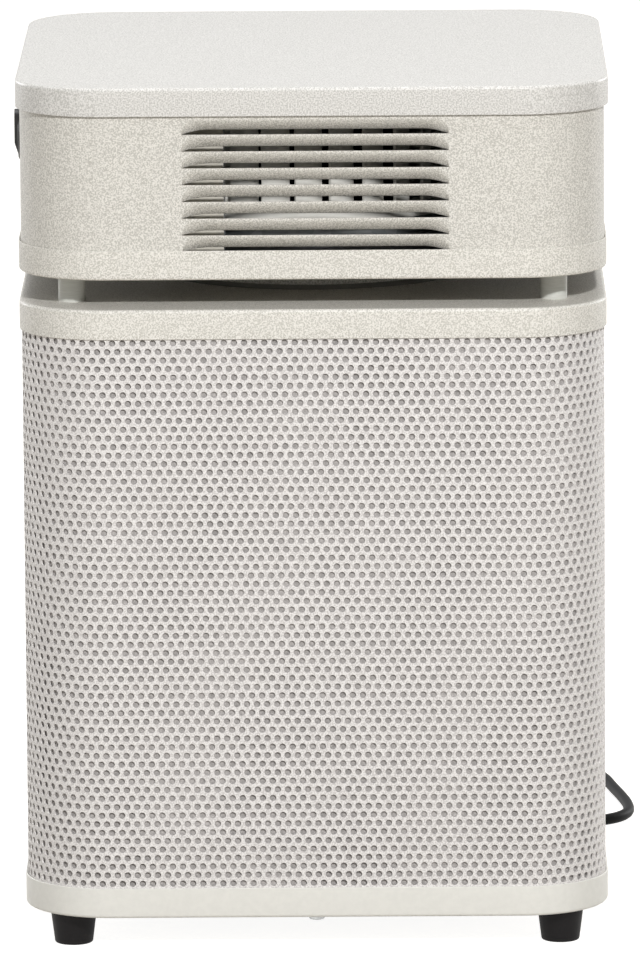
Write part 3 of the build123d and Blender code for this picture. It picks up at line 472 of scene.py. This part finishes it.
def make_finishes():
    """Every finish, by its slot in the record, or by a name of its own where a slot has several."""
    tones = bpy.context.scene.purifier_colours
    # Only the tray's underside lies below this edge and takes the painted shade.
    tray_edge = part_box("head_tray")[0].z + 0.1 * MM
    return {
        "powder_coat": sandy_powder_coat("sandy_powder_coat", "coat"),
        "tray_coat_painted_shade": thinly_coated_below("tray_powder_coat", "coat", tray_edge),
        "head_coat": sandy_powder_coat("cream_powder_coat", "head"),
        # The lid's own cooler cream is painted sheen, standing for the white sheen on its top.
        "lid_coat_painted_sheen": sandy_powder_coat("lid_powder_coat", "lid", 0.4),
        "jacket_coat": sandy_powder_coat("white_powder_coat", "jacket"),
        "white_felt": needled_felt(),
        "galvanised_steel": galvanised_sheet(),
        "carbon_granules": carbon_granules(),
        # Sprayed stove enamel on pressed steel: even and satin, with faint orange peel.
        "smooth_enamel": grained(
            "smooth_stove_enamel", rgba(tones.base), rgba(tones.base, 1.04), 3, 0.02, 0.42
        ),
        # Moulded ABS: white, faintly satin, with slow tone changes from the flow in the tool.
        "white_plastic": coded("moulded_white_abs", "F5F3EB", "FBF9F2", 6, 0.01, 0.4, IOR=1.53),
        # Turned nylon: pale and waxy, with fine turning marks round it.
        "post_plastic": coded(
            "turned_nylon", "D2D3CC", "DDDED8", 1.2, 0.01, 0.45, 0.0, (0.15, 0.15, 2.0), IOR=1.53
        ),
        # Stoved black enamel: deep black with a soft sheen.
        "black_enamel": coded(
            "stoved_black_enamel", "0E0D0C", "161413", 2, 0.02, 0.5, **{"Specular IOR Level": 0.25}
        ),
        # Zinc-plated steel, barrel plated: grey, slightly cloudy metal.
        "zinc_fasteners": coded("zinc_plated_steel", "A6A8AA", "BFC1C2", 1.5, 0.01, 0.35, 1.0),
        # Turned steel: bright metal with fine rings from the tool.
        "machined_steel": coded(
            "turned_steel", "9FA0A1", "BDBEBF", 0.4, 0.01, 0.3, 1.0, (0.2, 0.2, 2.0)
        ),
        # Die-cast aluminium: pale, slightly rough metal.
        "motor_aluminium": coded("die_cast_aluminium", "B4B5B6", "C9CACB", 0.8, 0.03, 0.5, 1.0),
        # Pleated glass-fibre paper: white and matt, with fine fibres.
        "filter_paper": coded("pleated_filter_paper", "DEDBD2", "F0EEE8", 0.6, 0.05, 0.9),
        # Open-cell foam: black and matt, with pores under a millimetre.
        "dark_foam": coded("open_cell_foam", "161616", "2B2B2B", 0.7, 0.4, 0.95),
        # Stoved primer: dull pale cream, a little uneven.
        "primer": coded("stoved_primer", "D6D2C6", "DEDACF", 1.5, 0.02, 0.6),
        # Closed-cell foam: mid grey and matt, with pores of half a millimetre.
        "seal_foam": coded("closed_cell_foam", "8A8983", "97958F", 0.5, 0.2, 0.95),
        # Moulded rubber: black, matt, with a faint bloom.
        "black_rubber": grained(
            "moulded_rubber", rgba(tones.rubber), rgba(tones.rubber, 1.5), 1.2, 0.03, 0.62,
            IOR=1.52, **{"Specular IOR Level": 0.2},
        ),
        # Moulded ABS: black with a satin tool texture.
        "black_plastic": coded("moulded_black_abs", "121212", "1B1B1B", 0.5, 0.02, 0.38, IOR=1.53),
        # Anodised aluminium: near-black metal with a brushed line.
        "dial_aluminium": coded(
            "black_anodised_aluminium", "1B1B1C", "272728", 0.3, 0.01, 0.42, 0.6, (1.0, 0.05, 2.0)
        ),
        # Extruded PVC: black and smooth, with a soft sheen and slight scuffs along it.
        "black_pvc": grained(
            "extruded_pvc", rgba(tones.lead), rgba(tones.lead, 1.35), 2.5, 0.02, 0.55,
            IOR=1.53, **{"Specular IOR Level": 0.1},
        ),
        # Brass, blanked and polished: warm bright metal.
        "plug_brass": coded("polished_brass", "C9AC6B", "DCC48A", 1, 0.01, 0.22, 1.0),
        # Pad-printed ink: flat white.
        "dial_ink": coded("pad_printed_ink", "DADAD6", "E6E6E2", 1, 0.005, 0.5),
    }


FINISHES = {}
# Nodes whose finish differs from others of their slot.
SPECIAL_FINISHES = {
    "spacer_posts": "post_plastic",
    "neck_seal": "seal_foam",
    "outlet_frame": "primer",
}


def dress_node(node):
    """Gives a carried-over CAD node the finish that the record names for it."""
    named = {s["node"]: s["material_slot"] for s in frame["record"]["subparts"]}
    made = frame["nodes"][node]
    finish = FINISHES[SPECIAL_FINISHES.get(node, named[node])]
    if not made.material_slots:
        made.data.materials.append(finish)
    for place in made.material_slots:
        place.material = finish
    return made


class PurifierOperator:
    bl_options = {"REGISTER", "UNDO"}


# ---- camera and mains lead


class PURIFIER_OT_camera(PurifierOperator, bpy.types.Operator):
    """Set the camera in front of the purifier, a little above it and looking down"""

    bl_idname = "purifier.camera"
    bl_label = "Camera"

    def execute(self, context):
        stage = context.scene.purifier_stage
        data = bpy.data.cameras.new("camera")
        data.lens = stage.lens
        data.sensor_width = 36
        data.clip_end = 60
        camera = bpy.data.objects.new("camera", data)
        aim = Vector((2.15 * MM, 0, 203.4 * MM))
        back = Vector((0, -math.cos(stage.pitch), math.sin(stage.pitch)))
        swing = Matrix.Rotation(stage.yaw, 4, "Z")
        tilt = Matrix.Rotation(math.pi / 2 - stage.pitch, 4, "X")
        roll = Matrix.Rotation(stage.roll, 4, "Z")
        place = swing @ Matrix.Translation(aim + stage.distance * back)
        camera.matrix_world = place @ tilt @ roll
        context.scene.collection.objects.link(camera)
        context.scene.camera = camera
        return {"FINISHED"}


# The lead's control points in millimetres: from the strain relief to the coil, then to the plug.
LEAD_ROUTE = [
    (55, 163.7, 345), (55, 190, 345), (55.3, 209, 327), (56.5, 214.5, 294), (57.6, 211, 246),
    (57, 206, 194), (56.4, 203.5, 142), (57.5, 204, 96), (60.5, 208, 56), (65, 219, 23),
    (71, 239, 3.45), (77, 264, 2.85), (89.5, 283.5, 2.85), (111, 288.4, 2.85), (133, 276.5, 2.85),
    (144.5, 253, 2.85), (148.5, 225.5, 2.85), (152.2, 204.5, 2.85), (155.6, 180, 2.85),
    (155, 160.5, 2.85), (147.3, 147, 2.85), (132.3, 139.6, 2.85), (106, 144.5, 2.85),
    (72, 148.5, 2.85), (40, 147.6, 3.15), (8, 149.2, 3.75),
]
LEAD_END = [
    (-60.2, 198.5, 14.2), (-62.6, 207, 12.4), (-63, 214, 10.3), (-63, 219, 10.1), (-63, 225, 10.1),
]


def coil_turns():
    """Control points of the coil in millimetres, every 20 degrees of five and a quarter turns.

    The lead winds clockwise from the front of the coil: three turns on the floor, each a
    diameter inside the last, then two turns in the grooves on top of them and part of a third
    on those. Radius and height are constant along a turn and ease to the next one's in the
    same short stretch, and a turn rises a little where it crosses one below.
    """
    lead = bpy.context.scene.purifier_lead
    d, r = lead.diameter / MM, lead.outer_turn / MM
    # The coil's middle, and room under it for the tie's strap.
    middle_x, middle_y, lift = -26, 186, 1.0
    turn = np.arange(-10, 1891, 20.0)
    # Angle, steps inward of one diameter, and layers up of a diameter times the sine of 60.
    keys = [
        (-10, 0.0, 0.0), (290, 0.0, 0.0), (345, 1.0, 0.0), (650, 1.0, 0.0), (705, 2.0, 0.0),
        (945, 2.0, 0.0), (965, 2.02, 0.35), (985, 1.85, 0.85), (1005, 1.5, 1.0),
        (1015, 1.5, 1.05), (1037, 1.5, 1.2), (1060, 1.5, 1.05), (1075, 1.5, 1.0),
        (1305, 1.5, 1.0), (1325, 1.2, 1.12), (1345, 0.8, 1.15), (1365, 0.5, 1.0),
        (1380, 0.5, 1.05), (1397, 0.5, 1.2), (1420, 0.5, 1.05), (1435, 0.5, 1.0),
        (1665, 0.5, 1.0), (1685, 0.5, 1.45), (1705, 0.75, 1.9), (1725, 1.0, 2.05),
        (1757, 1.0, 2.25), (1790, 1.0, 2.05), (1890, 1.0, 2.05),
    ]
    at, step, layer = np.array(keys).T
    radius = (r - d * np.interp(turn, at, step)) / math.cos(math.radians(10))
    z = lift + d / 2 + d * math.sin(math.radians(60)) * np.interp(turn, at, layer)
    angle = np.radians(270 - turn)
    x, y = middle_x + radius * np.cos(angle), middle_y + radius * np.sin(angle)
    return np.stack([x, y, z], -1)


def grooves(at, start, end, pitch):
    """Depth of grooves from start to end, in mm: a raised cosine, squared, 0.9 at its deepest."""
    raised = 0.5 - 0.5 * np.cos(TAU * (at - start) / pitch)
    return 0.9 * raised**2 * ((at > start) & (at < end))


class PURIFIER_OT_mains_lead(PurifierOperator, bpy.types.Operator):
    """Lay the mains lead: down the back, round on the floor and into a tied coil behind"""

    bl_idname = "purifier.mains_lead"
    bl_label = "Mains lead"

    def execute(self, context):
        lead = context.scene.purifier_lead
        route = np.concatenate([LEAD_ROUTE, coil_turns(), LEAD_END]) * MM
        curve = bpy.data.curves.new("mains_lead", "CURVE")
        curve.dimensions = "3D"
        spline = curve.splines.new("NURBS")
        spline.points.add(len(route) - 1)
        spline.points.foreach_set("co", np.c_[route, np.ones(len(route))].ravel())
        spline.order_u = 3
        spline.use_endpoint_u = True
        spline.resolution_u = 8
        curve.bevel_depth = lead.diameter / 2
        curve.bevel_resolution = 5
        curve.use_fill_caps = True
        curve.materials.append(FINISHES["black_pvc"])
        cable = bpy.data.objects.new("mains_lead", curve)
        context.scene.collection.objects.link(cable)
        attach(cable, "housing")
        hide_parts("cord_lead", "cord_coil", "cord_tail")
        nodes = ("plug_blades", "plug_pin", "coil_tie")
        on_lead = [self.plug(), *(dress_node(node) for node in nodes)]
        self.relief()
        return {"FINISHED"}

    def plug(self):
        """Moulded plug: superellipses along the lead, round at the ribbed neck and boxy in hand.

        Half width, half height and the ellipse's power follow the distance along the plug, all
        in millimetres; the neck's ribs are what grooves leave of its radius.
        """
        low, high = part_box("plug_body")
        y = np.unique(np.concatenate([np.linspace(0, 54, 64), np.linspace(2, 18, 60), [0.3, 53.7]]))
        grip = [0, 0.5, 18, 21, 25, 29, 38, 47, 52.5, 53.5, 54]
        a = np.interp(y, grip, [3.9, 4.8, 5.0, 5.9, 10.2, 12.2, 11.4, 12.3, 12.5, 12.2, 11.5])
        b = np.interp(y, grip, [3.9, 4.8, 5.0, 5.6, 8.4, 9.8, 9.2, 9.8, 10.0, 9.7, 9.0])
        power = np.interp(y, [0, 18, 26, 54], [2.0, 2.0, 3.4, 4.2])
        cut = grooves(y, 2, 18, 3.2)[:, None]
        angle = np.linspace(0, TAU, 56, endpoint=False)[None]
        c, s = np.cos(angle), np.sin(angle)
        bow = 2 / power[:, None]
        x = (a[:, None] - cut) * np.sign(c) * np.abs(c) ** bow
        z = (b[:, None] - cut) * np.sign(s) * np.abs(s) ** bow
        x = np.concatenate([0 * x[:1], x, 0 * x[:1]]) * MM + (low.x + high.x) / 2
        z = np.concatenate([0 * z[:1], z, 0 * z[:1]]) * MM + (low.z + high.z) / 2
        y = low.y + np.concatenate([y[:1], y, y[-1:]])[:, None] * MM + 0 * x
        points, faces = woven(np.stack([x, y, z], -1), wrap_columns=True)
        return piece("moulded_plug", points, faces, "black_rubber", ["plug_body"], crease=50)

    def relief(self):
        """Strain relief: a round flange on the wall, then a taper with grooves cut round it.

        Radii, and heights over the wall, are in millimetres.
        """
        low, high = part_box("strain_relief")
        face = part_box("head_band")[1].y
        flange, shank, tip, reach = 3, 6.2, 3.9, (high.y - face) / MM
        h = np.linspace(flange, reach, 110)
        taper = np.interp(h, [flange, reach], [shank, tip]) - grooves(h, 5, reach - 2.4, 3.1)
        profile = [(shank, (low.y - face) / MM), (shank, 0), (8.5, 0), (8.5, 2), (8.2, 2.7)]
        profile += [(7.5, flange), *zip(taper, h), (3.2, reach)]
        middle = ((low.x + high.x) / 2, face, (low.z + high.z) / 2)
        points, faces = lathe(middle, np.array(profile) * MM)
        piece("ribbed_strain_relief", points, faces, "black_rubber", ["strain_relief"], crease=50)


# ---- case


def jacket_block(first, last):
    """Flat layout of a block of punched sheet: arc length round the case and height.

    Each hole sits in a cell one pitch wide and one row high, with six points on its border, and
    each row is half a pitch aside of the last. Triangles join the hole's twelve corners to the
    border. A plain strip closes the sheet below the first row and above the last.
    """
    case = bpy.context.scene.purifier_case
    side, radius = plan_of("perforated_shell")
    low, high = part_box("perforated_shell")
    total = outline_length(side, radius)
    half = total / (2 * round(total / case.hole_pitch))
    row, column = np.mgrid[0 : case.hole_rows, first:last]
    row, middle = row.ravel(), (2 * column + row % 2).ravel()
    start, width = 2 * first - 1, 2 * (last - first) + 3
    across = np.arange(start, start + width)
    levels = np.arange(case.hole_rows + 1)
    z_border = case.row_start + (levels - 0.5) * case.row_pitch
    z_border = np.concatenate([[low.z], z_border, [high.z]])
    border_s = np.broadcast_to(across * half, (len(z_border), width))
    border_z = np.broadcast_to(z_border[:, None], border_s.shape)
    steps = ((1, 1), (0, 1), (-1, 1), (-1, 0), (0, 0), (1, 0))
    g = np.stack([(row + 1 + up) * width + middle + aside - start for aside, up in steps], -1)
    k = np.arange(12)
    base = border_s.size
    hole = base + np.arange(len(row))[:, None] * 12 + k
    angle = TAU * k / 12
    hole_s = (middle * half)[:, None] + case.hole / 2 * np.cos(angle)
    hole_z = (case.row_start + row * case.row_pitch)[:, None] + case.hole / 2 * np.sin(angle)
    rim = np.stack([hole, g[:, k // 2], np.roll(hole, -1, 1)], -1).reshape(-1, 3)
    ends = [np.stack([g[:, i], g[:, (i + 1) % 6], hole[:, (2 * i + 2) % 12]], -1) for i in range(6)]
    ids = np.arange(base).reshape(border_s.shape)
    lean = (case.hole_rows - 1) % 2
    strips = [quads(ids[:2, : width - 2]), quads(ids[-2:, lean : width - 2 + lean])]
    s = np.concatenate([border_s.ravel(), hole_s.ravel()]) + case.hole_start
    z = np.concatenate([border_z.ravel(), hole_z.ravel()])
    return s, z, [rim, np.concatenate(ends), *strips]


class PURIFIER_OT_perforated_jacket(PurifierOperator, bpy.types.Operator):
    """Punch the steel jacket round the body, with every hole open, in eight panels"""

    bl_idname = "purifier.perforated_jacket"
    bl_label = "Perforated jacket"

    def execute(self, context):
        case = context.scene.purifier_case
        side, radius = plan_of("perforated_shell")
        total = outline_length(side, radius)
        columns = round(total / case.hole_pitch)
        # A panel on a side stops 15 mm short of the corners' bends.
        panel_end = side / 2 - radius - 15 * MM
        cuts = [k * total / 4 + at for k in range(4) for at in (panel_end, total / 4 - panel_end)]
        edges = [round(columns * cut / total) for cut in cuts]
        edges.append(edges[0] + columns)
        names = ("corner_1", "right", "corner_2", "back", "corner_3", "left", "corner_4", "front")
        for name, first, last in zip(names, edges, edges[1:]):
            s, z, faces = jacket_block(first, last)
            skins = (wall(side, radius, s, inset + 0 * s, z) for inset in (0.0, case.sheet))
            points, faces = shell(*skins, faces)
            replaced = ["perforated_shell"]
            piece(f"jacket_{name}", points, faces, "jacket_coat", replaced)
        return {"FINISHED"}


class PURIFIER_OT_felt_wrap(PurifierOperator, bpy.types.Operator):
    """Wrap the felt prefilter inside the jacket, from which it sags most near its ends"""

    bl_idname = "purifier.felt_wrap"
    bl_label = "Felt wrap"

    def execute(self, context):
        """The outer skin is the sleeve's outline moved inward by a sag.

        The sag is a half plus 0.29 of a wave, times the sag allowed. The wave is a sine of nine
        turns round the body, bent by a sine up its height, plus a fainter one of seventeen that
        leans. Over the height it all shrinks to two fifths at the middle, by the 0.4 power of a
        half sine. The sag allowed is taken off the thickness, so the felt stays in its sleeve.
        """
        case = context.scene.purifier_case
        low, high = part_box("prefilter")
        side, radius = plan_of("prefilter")
        total = outline_length(side, radius)
        s, z = np.meshgrid(
            np.linspace(0, total, 360, endpoint=False), np.linspace(low.z, high.z, 70)
        )
        turn = TAU * s / total
        rise = (z - low.z) / (high.z - low.z)
        wave = np.sin(9 * turn + 2.2 * np.sin(7 * rise)) + 0.7 * np.sin(17 * turn - 9 * rise)
        sag = case.felt_wave * (0.5 + 0.29 * wave) * (1 - 0.6 * np.sin(math.pi * rise) ** 0.4)
        skins = (
            wall(side, radius, s, sag + deep, z).reshape(-1, 3)
            for deep in (0.0, case.felt - case.felt_wave)
        )
        ids = np.arange(s.size).reshape(s.shape)
        points, faces = shell(*skins, [quads(ids, wrap_columns=True)])
        felt = piece("felt_wrap", points, faces, "white_felt", ["prefilter"], crease=60)
        return {"FINISHED"}


class PURIFIER_OT_louvred_band(PurifierOperator, bpy.types.Operator):
    """Form the band of the head, with its pressed louvres and its inward lip under the lid"""

    bl_idname = "purifier.louvred_band"
    bl_label = "Louvred band"

    def execute(self, context):
        """The band is one grid: columns round the outline, rows up the wall.

        A louvre's blade starts flush at the top of its slot and curves inward on its way down,
        as the power 1.3 of that way. Towards the louvre's ends one quarter ellipse lets the
        depth go to nothing and a shorter one the blade's height. The blade keeps the height
        cut for it, so its free edge rises as it goes deeper and leaves the opening. At the top
        the wall turns inward by a quarter circle and ends in a flat strip under the lid.
        """
        case, cut = context.scene.purifier_case, context.scene.purifier_louvres
        side, radius = plan_of("perforated_shell")
        low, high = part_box("head_band")
        bend, turned_in, tiny = case.bend, 9 * MM, 1e-9
        flat, total = side - 2 * radius, outline_length(side, radius)
        left, right = cut.offset - cut.width / 2, cut.offset + cut.width / 2
        ease = cut.end * (1 - np.cos(np.linspace(0, math.pi / 2, 27)))
        front = np.concatenate(
            [
                np.linspace(-flat / 2, left, 5, endpoint=False),
                left + ease,
                np.linspace(left + cut.end, right - cut.end, 26)[1:-1],
                (right - ease)[::-1],
                np.linspace(right, flat / 2, 5, endpoint=False)[1:],
            ]
        )
        rest = outline_stations(side, radius, 10, 18)
        s = np.concatenate([front, rest[rest >= flat / 2 - tiny]])
        s = s[s < total - flat / 2 - tiny]
        inside = (s > left + tiny) & (s < right - tiny)
        near = np.minimum(s - left, right - s)
        deep, full = (
            np.sqrt(1 - (1 - np.clip(near / reach, 0, 1)) ** 2) for reach in (cut.end, cut.shoulder)
        )
        full = np.where(inside, full, 1e-6)  # Not 0, as the blade's way is divided by it.
        depth = cut.depth * np.where(inside, deep, 0.0)

        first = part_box("head_tray")[1].z + cut.sill
        rows, lips = [], []
        flush = np.zeros_like(s)

        def row(z, inward=flush, drop=0.0):
            rows.append((np.broadcast_to(z, s.shape), inward, drop))

        row(low.z)
        row((low.z + first) / 2)
        for k in range(cut.count):
            tip = first + k * cut.pitch
            top = tip + cut.slot
            row(tip)
            lips.append(len(rows) - 1)
            reach = np.sqrt(cut.slot**2 - depth**2)
            for way in np.linspace(1, 0, 18):
                bent = np.clip((way - 1 + full) / full, 0, 1)
                row(top - way * reach, depth * bent**1.3)
        row(top + 4 * MM)  # A plain row that keeps the faces over the louvres short.
        row(high.z - bend)
        for a in np.linspace(0, math.pi / 2, 7)[1:]:
            row(high.z - bend + bend * math.sin(a), flush + bend * (1 - math.cos(a)), a)
        row(high.z, flush + turned_in, math.pi / 2)
        z, inward, drop = (np.array(values) for values in zip(*rows))
        back, down = case.sheet * np.cos(drop)[:, None], case.sheet * np.sin(drop)[:, None]
        skins = (
            wall(side, radius, s, inward + share * back, z - share * down).reshape(-1, 3)
            for share in (0, 1)
        )
        ids = np.arange(z.size).reshape(z.shape)
        for lip in lips:
            ids[lip + 1, ~inside] = ids[lip, ~inside]
        cuts = [0, *(lip + 1 for lip in lips), len(rows)]
        bands = [quads(ids[a:b], wrap_columns=True) for a, b in zip(cuts, cuts[1:])]
        points, faces = shell(*skins, bands)
        piece("louvred_band", points, faces, "head_coat", ["head_band"], crease=48)
        return {"FINISHED"}


class PURIFIER_OT_case_pans(PurifierOperator, bpy.types.Operator):
    """Fold the lid, the head's tray, the body's cap and the base pan"""

    bl_idname = "purifier.case_pans"
    bl_label = "Lid, tray, cap and base"

    def execute(self, context):
        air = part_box("neck_collar")[1].x - 10 * MM
        for name, node, hole, plate_up, finish, slot in (
            ("folded_lid", "lid", 0.0, True, "lid_coat_painted_sheen", "powder_coat"),
            ("folded_tray", "head_tray", air, False, "tray_coat_painted_shade", "powder_coat"),
            ("folded_cap", "body_cap", air, True, "powder_coat", "powder_coat"),
            ("folded_base", "base_pan", 0.0, False, "smooth_enamel", "smooth_enamel"),
        ):
            low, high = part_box(node)
            ends = (high.z, low.z) if plate_up else (low.z, high.z)
            points, faces = pressed_pan(*plan_of(node), *ends, hole)
            piece(name, points, faces, finish, [node], crease=40)
        return {"FINISHED"}


# ---- dial


class PURIFIER_OT_speed_dial(PurifierOperator, bpy.types.Operator):
    """Print four ticks and the plain numbers 0 to 3 round the speed knob"""

    bl_idname = "purifier.speed_dial"
    bl_label = "Speed dial"

    def execute(self, context):
        """Tick and number k stand 45 degrees times k on from straight down, towards the back."""
        low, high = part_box("dial_plate")
        face, lift, number_radius = low.x, 0.06 * MM, 18.9 * MM
        y0, z0 = (low.y + high.y) / 2, (low.z + high.z) / 2
        points, faces, count = [], [], 0
        for k in range(4):
            turn = k * math.pi / 4
            out = np.array([math.sin(turn), -math.cos(turn)])
            across = np.array([out[1], -out[0]])
            flat, tick_faces = self.tick(out, across)
            glyph, glyph_faces = self.number(str(k))
            glyph = glyph * [-1, 1, 1] + [*(number_radius * out), 0]
            for part, part_faces in ((flat, tick_faces), (glyph, glyph_faces)):
                world = np.stack(
                    [face - lift * (part[:, 2] > 0), y0 + part[:, 0], z0 + part[:, 1]], -1
                )
                points.append(world)
                faces += [f + count for f in part_faces]
                count += len(world)
        piece("dial_marks", np.concatenate(points), faces, "dial_ink")
        for node in ("dial_plate", "speed_knob", "switch_nut", "switch_shaft", "rotary_switch"):
            dress_node(node)
        return {"FINISHED"}

    def tick(self, out, across):
        """A thin closed bar between two radii, 0.7 mm wide."""
        near, far, half = 14.9 * MM * out, 16.7 * MM * out, 0.35 * MM * across
        plan = [near - half, far - half, far + half, near + half]
        points = np.array([(*p, level) for level in (0, 1) for p in plan])
        sides = [(i, (i + 1) % 4, (i + 1) % 4 + 4, i + 4) for i in range(4)]
        return points, [np.array([(3, 2, 1, 0), (4, 5, 6, 7), *sides])]

    def number(self, text):
        """A closed, extruded numeral, centred, with its height given as level 0 or 1."""
        curve = bpy.data.curves.new("numeral", "FONT")
        curve.body = text
        curve.size = 4.6 * MM
        curve.extrude = 1 * MM
        curve.align_x = "CENTER"
        curve.align_y = "CENTER"
        curve.resolution_u = 4
        holder = bpy.data.objects.new("numeral", curve)
        bpy.context.scene.collection.objects.link(holder)
        solid = bpy.data.meshes.new_from_object(
            holder.evaluated_get(bpy.context.evaluated_depsgraph_get())
        )
        points = np.array([v.co for v in solid.vertices])
        points[:, :2] -= (points[:, :2].max(0) + points[:, :2].min(0)) / 2
        points[:, 2] = points[:, 2] > 0
        corners = {}
        for face in solid.polygons:
            corners.setdefault(len(face.vertices), []).append(tuple(face.vertices))
        bpy.data.objects.remove(holder)
        return points, [np.array(rows) for rows in corners.values()]


# ---- carried-over nodes


class PURIFIER_OT_dress_frame(PurifierOperator, bpy.types.Operator):
    """Give every carried-over piece of the frame its finish: neck, fan, filter and fasteners"""

    bl_idname = "purifier.dress_frame"
    bl_label = "Frame finishes"

    def execute(self, context):
        for node, made in frame["nodes"].items():
            if not made.hide_render:
                dress_node(node)
        return {"FINISHED"}


# ---- stage


class PURIFIER_OT_stage(PurifierOperator, bpy.types.Operator):
    """Lay the pale floor, set the room's light and hang the softboxes"""

    bl_idname = "purifier.stage"
    bl_label = "Stage"

    def execute(self, context):
        stage = context.scene.purifier_stage
        self.floor()
        self.room(context.scene, stage.sky)
        for name, place, size, power in (
            ("front_softbox", (0.5, -2.6, 1.7), 0.12, stage.key),
            ("side_softbox", (-2.0, -2.0, 1.5), 1.2, stage.fill),
            ("rear_left_softbox", (-2.2, 2.2, 0.8), 0.9, stage.rear),
            ("rear_right_softbox", (2.2, 2.2, 0.8), 0.9, stage.rear),
            ("top_softbox", (0, 0.1, 2.6), 1.6, stage.top),
        ):
            self.softbox(name, place, size, power)
        return {"FINISHED"}

    def seen(self, tree):
        """1 for a ray from the eye, straight, mirrored or through glass, and 0 for any other."""
        path = add(tree, "ShaderNodeLightPath")
        either = path.outputs["Is Camera Ray"]
        for kind in ("Is Glossy Ray", "Is Transmission Ray"):
            both = {0: either, 1: path.outputs[kind]}
            either = add(tree, "ShaderNodeMath", {"operation": "MAXIMUM"}, both).outputs[0]
        return either

    def floor(self):
        """A plain pale sheet under the purifier, far wider than it, that glows to the eye alone."""
        made, tree, shader, place = blank("matt_paper_sweep", 0.9)
        shader.inputs["Base Color"].default_value = linear("BAB5AC")
        shares = {0: self.seen(tree), 1: 0.9}
        level = add(tree, "ShaderNodeMath", {"operation": "MULTIPLY"}, shares).outputs[0]
        glow = add(tree, "ShaderNodeEmission", inputs={"Color": (1, 1, 1, 1), "Strength": level})
        shaders = {0: shader.outputs[0], 1: glow.outputs[0]}
        both = add(tree, "ShaderNodeAddShader", inputs=shaders)
        end = next(n for n in tree.nodes if n.bl_idname == "ShaderNodeOutputMaterial")
        tree.links.new(both.outputs[0], end.inputs["Surface"])
        far = 14.0
        corners = [(-far, -far, 0), (far, -far, 0), (far, far, 0), (-far, far, 0)]
        mesh = bpy.data.meshes.new("paper_sweep")
        mesh.from_pydata(corners, [], [(0, 1, 2, 3)])
        mesh.materials.append(made)
        sheet = bpy.data.objects.new("paper_sweep", mesh)
        bpy.context.scene.collection.objects.link(sheet)

    def room(self, scene, strength):
        """White all round: full white to the eye, and a plain level of light on the object."""
        world = bpy.data.worlds.new("white_room")
        world.use_nodes = True
        tree = world.node_tree
        tree.nodes.clear()
        light, white = (
            add(tree, "ShaderNodeBackground", inputs={"Color": (1, 1, 1, 1), "Strength": level})
            for level in (strength, 1.0)
        )
        shaders = {0: self.seen(tree), 1: light.outputs[0], 2: white.outputs[0]}
        mix = add(tree, "ShaderNodeMixShader", inputs=shaders)
        add(tree, "ShaderNodeOutputWorld", inputs={"Surface": mix.outputs[0]})
        scene.world = world

    def softbox(self, name, place, size, power):
        """A square softbox, its size in metres, that looks at the middle of the purifier."""
        data = bpy.data.lights.new(name, "AREA")
        data.shape = "SQUARE"
        data.size = size
        data.energy = power
        lamp = bpy.data.objects.new(name, data)
        away = Vector(place) - Vector((0, 0, 0.22))
        turn = away.to_track_quat("Z", "Y").to_matrix().to_4x4()
        lamp.matrix_world = Matrix.Translation(place) @ turn
        bpy.context.scene.collection.objects.link(lamp)


# ---- add-on


class PURIFIER_PT_panel(bpy.types.Panel):
    """Lists the makers of the purifier's pieces"""

    bl_idname = "PURIFIER_PT_panel"
    bl_label = "Air Purifier"
    bl_space_type = "VIEW_3D"
    bl_region_type = "UI"
    bl_category = "Air Purifier"

    def draw(self, context):
        for operator in OPERATORS:
            self.layout.operator(operator.bl_idname)


GROUPS = {
    "purifier_case": PurifierCase,
    "purifier_louvres": PurifierLouvres,
    "purifier_lead": PurifierLead,
    "purifier_colours": PurifierColours,
    "purifier_stage": PurifierStage,
}
OPERATORS = (
    PURIFIER_OT_camera,
    PURIFIER_OT_mains_lead,
    PURIFIER_OT_perforated_jacket,
    PURIFIER_OT_felt_wrap,
    PURIFIER_OT_louvred_band,
    PURIFIER_OT_case_pans,
    PURIFIER_OT_speed_dial,
    PURIFIER_OT_dress_frame,
    PURIFIER_OT_stage,
)


def register():
    for group in (*GROUPS.values(), *OPERATORS, PURIFIER_PT_panel):
        bpy.utils.register_class(group)
    for name, group in GROUPS.items():
        setattr(bpy.types.Scene, name, PointerProperty(type=group))


def unregister():
    for name in GROUPS:
        delattr(bpy.types.Scene, name)
    for group in reversed((*GROUPS.values(), *OPERATORS, PURIFIER_PT_panel)):
        bpy.utils.unregister_class(group)


def main():
    register()
    bpy.context.scene.view_settings.view_transform = "Standard"
    FINISHES.update(make_finishes())
    for operator in OPERATORS:
        group, name = operator.bl_idname.split(".")
        getattr(getattr(bpy.ops, group), name)()


if __name__ == "__main__":
    main()
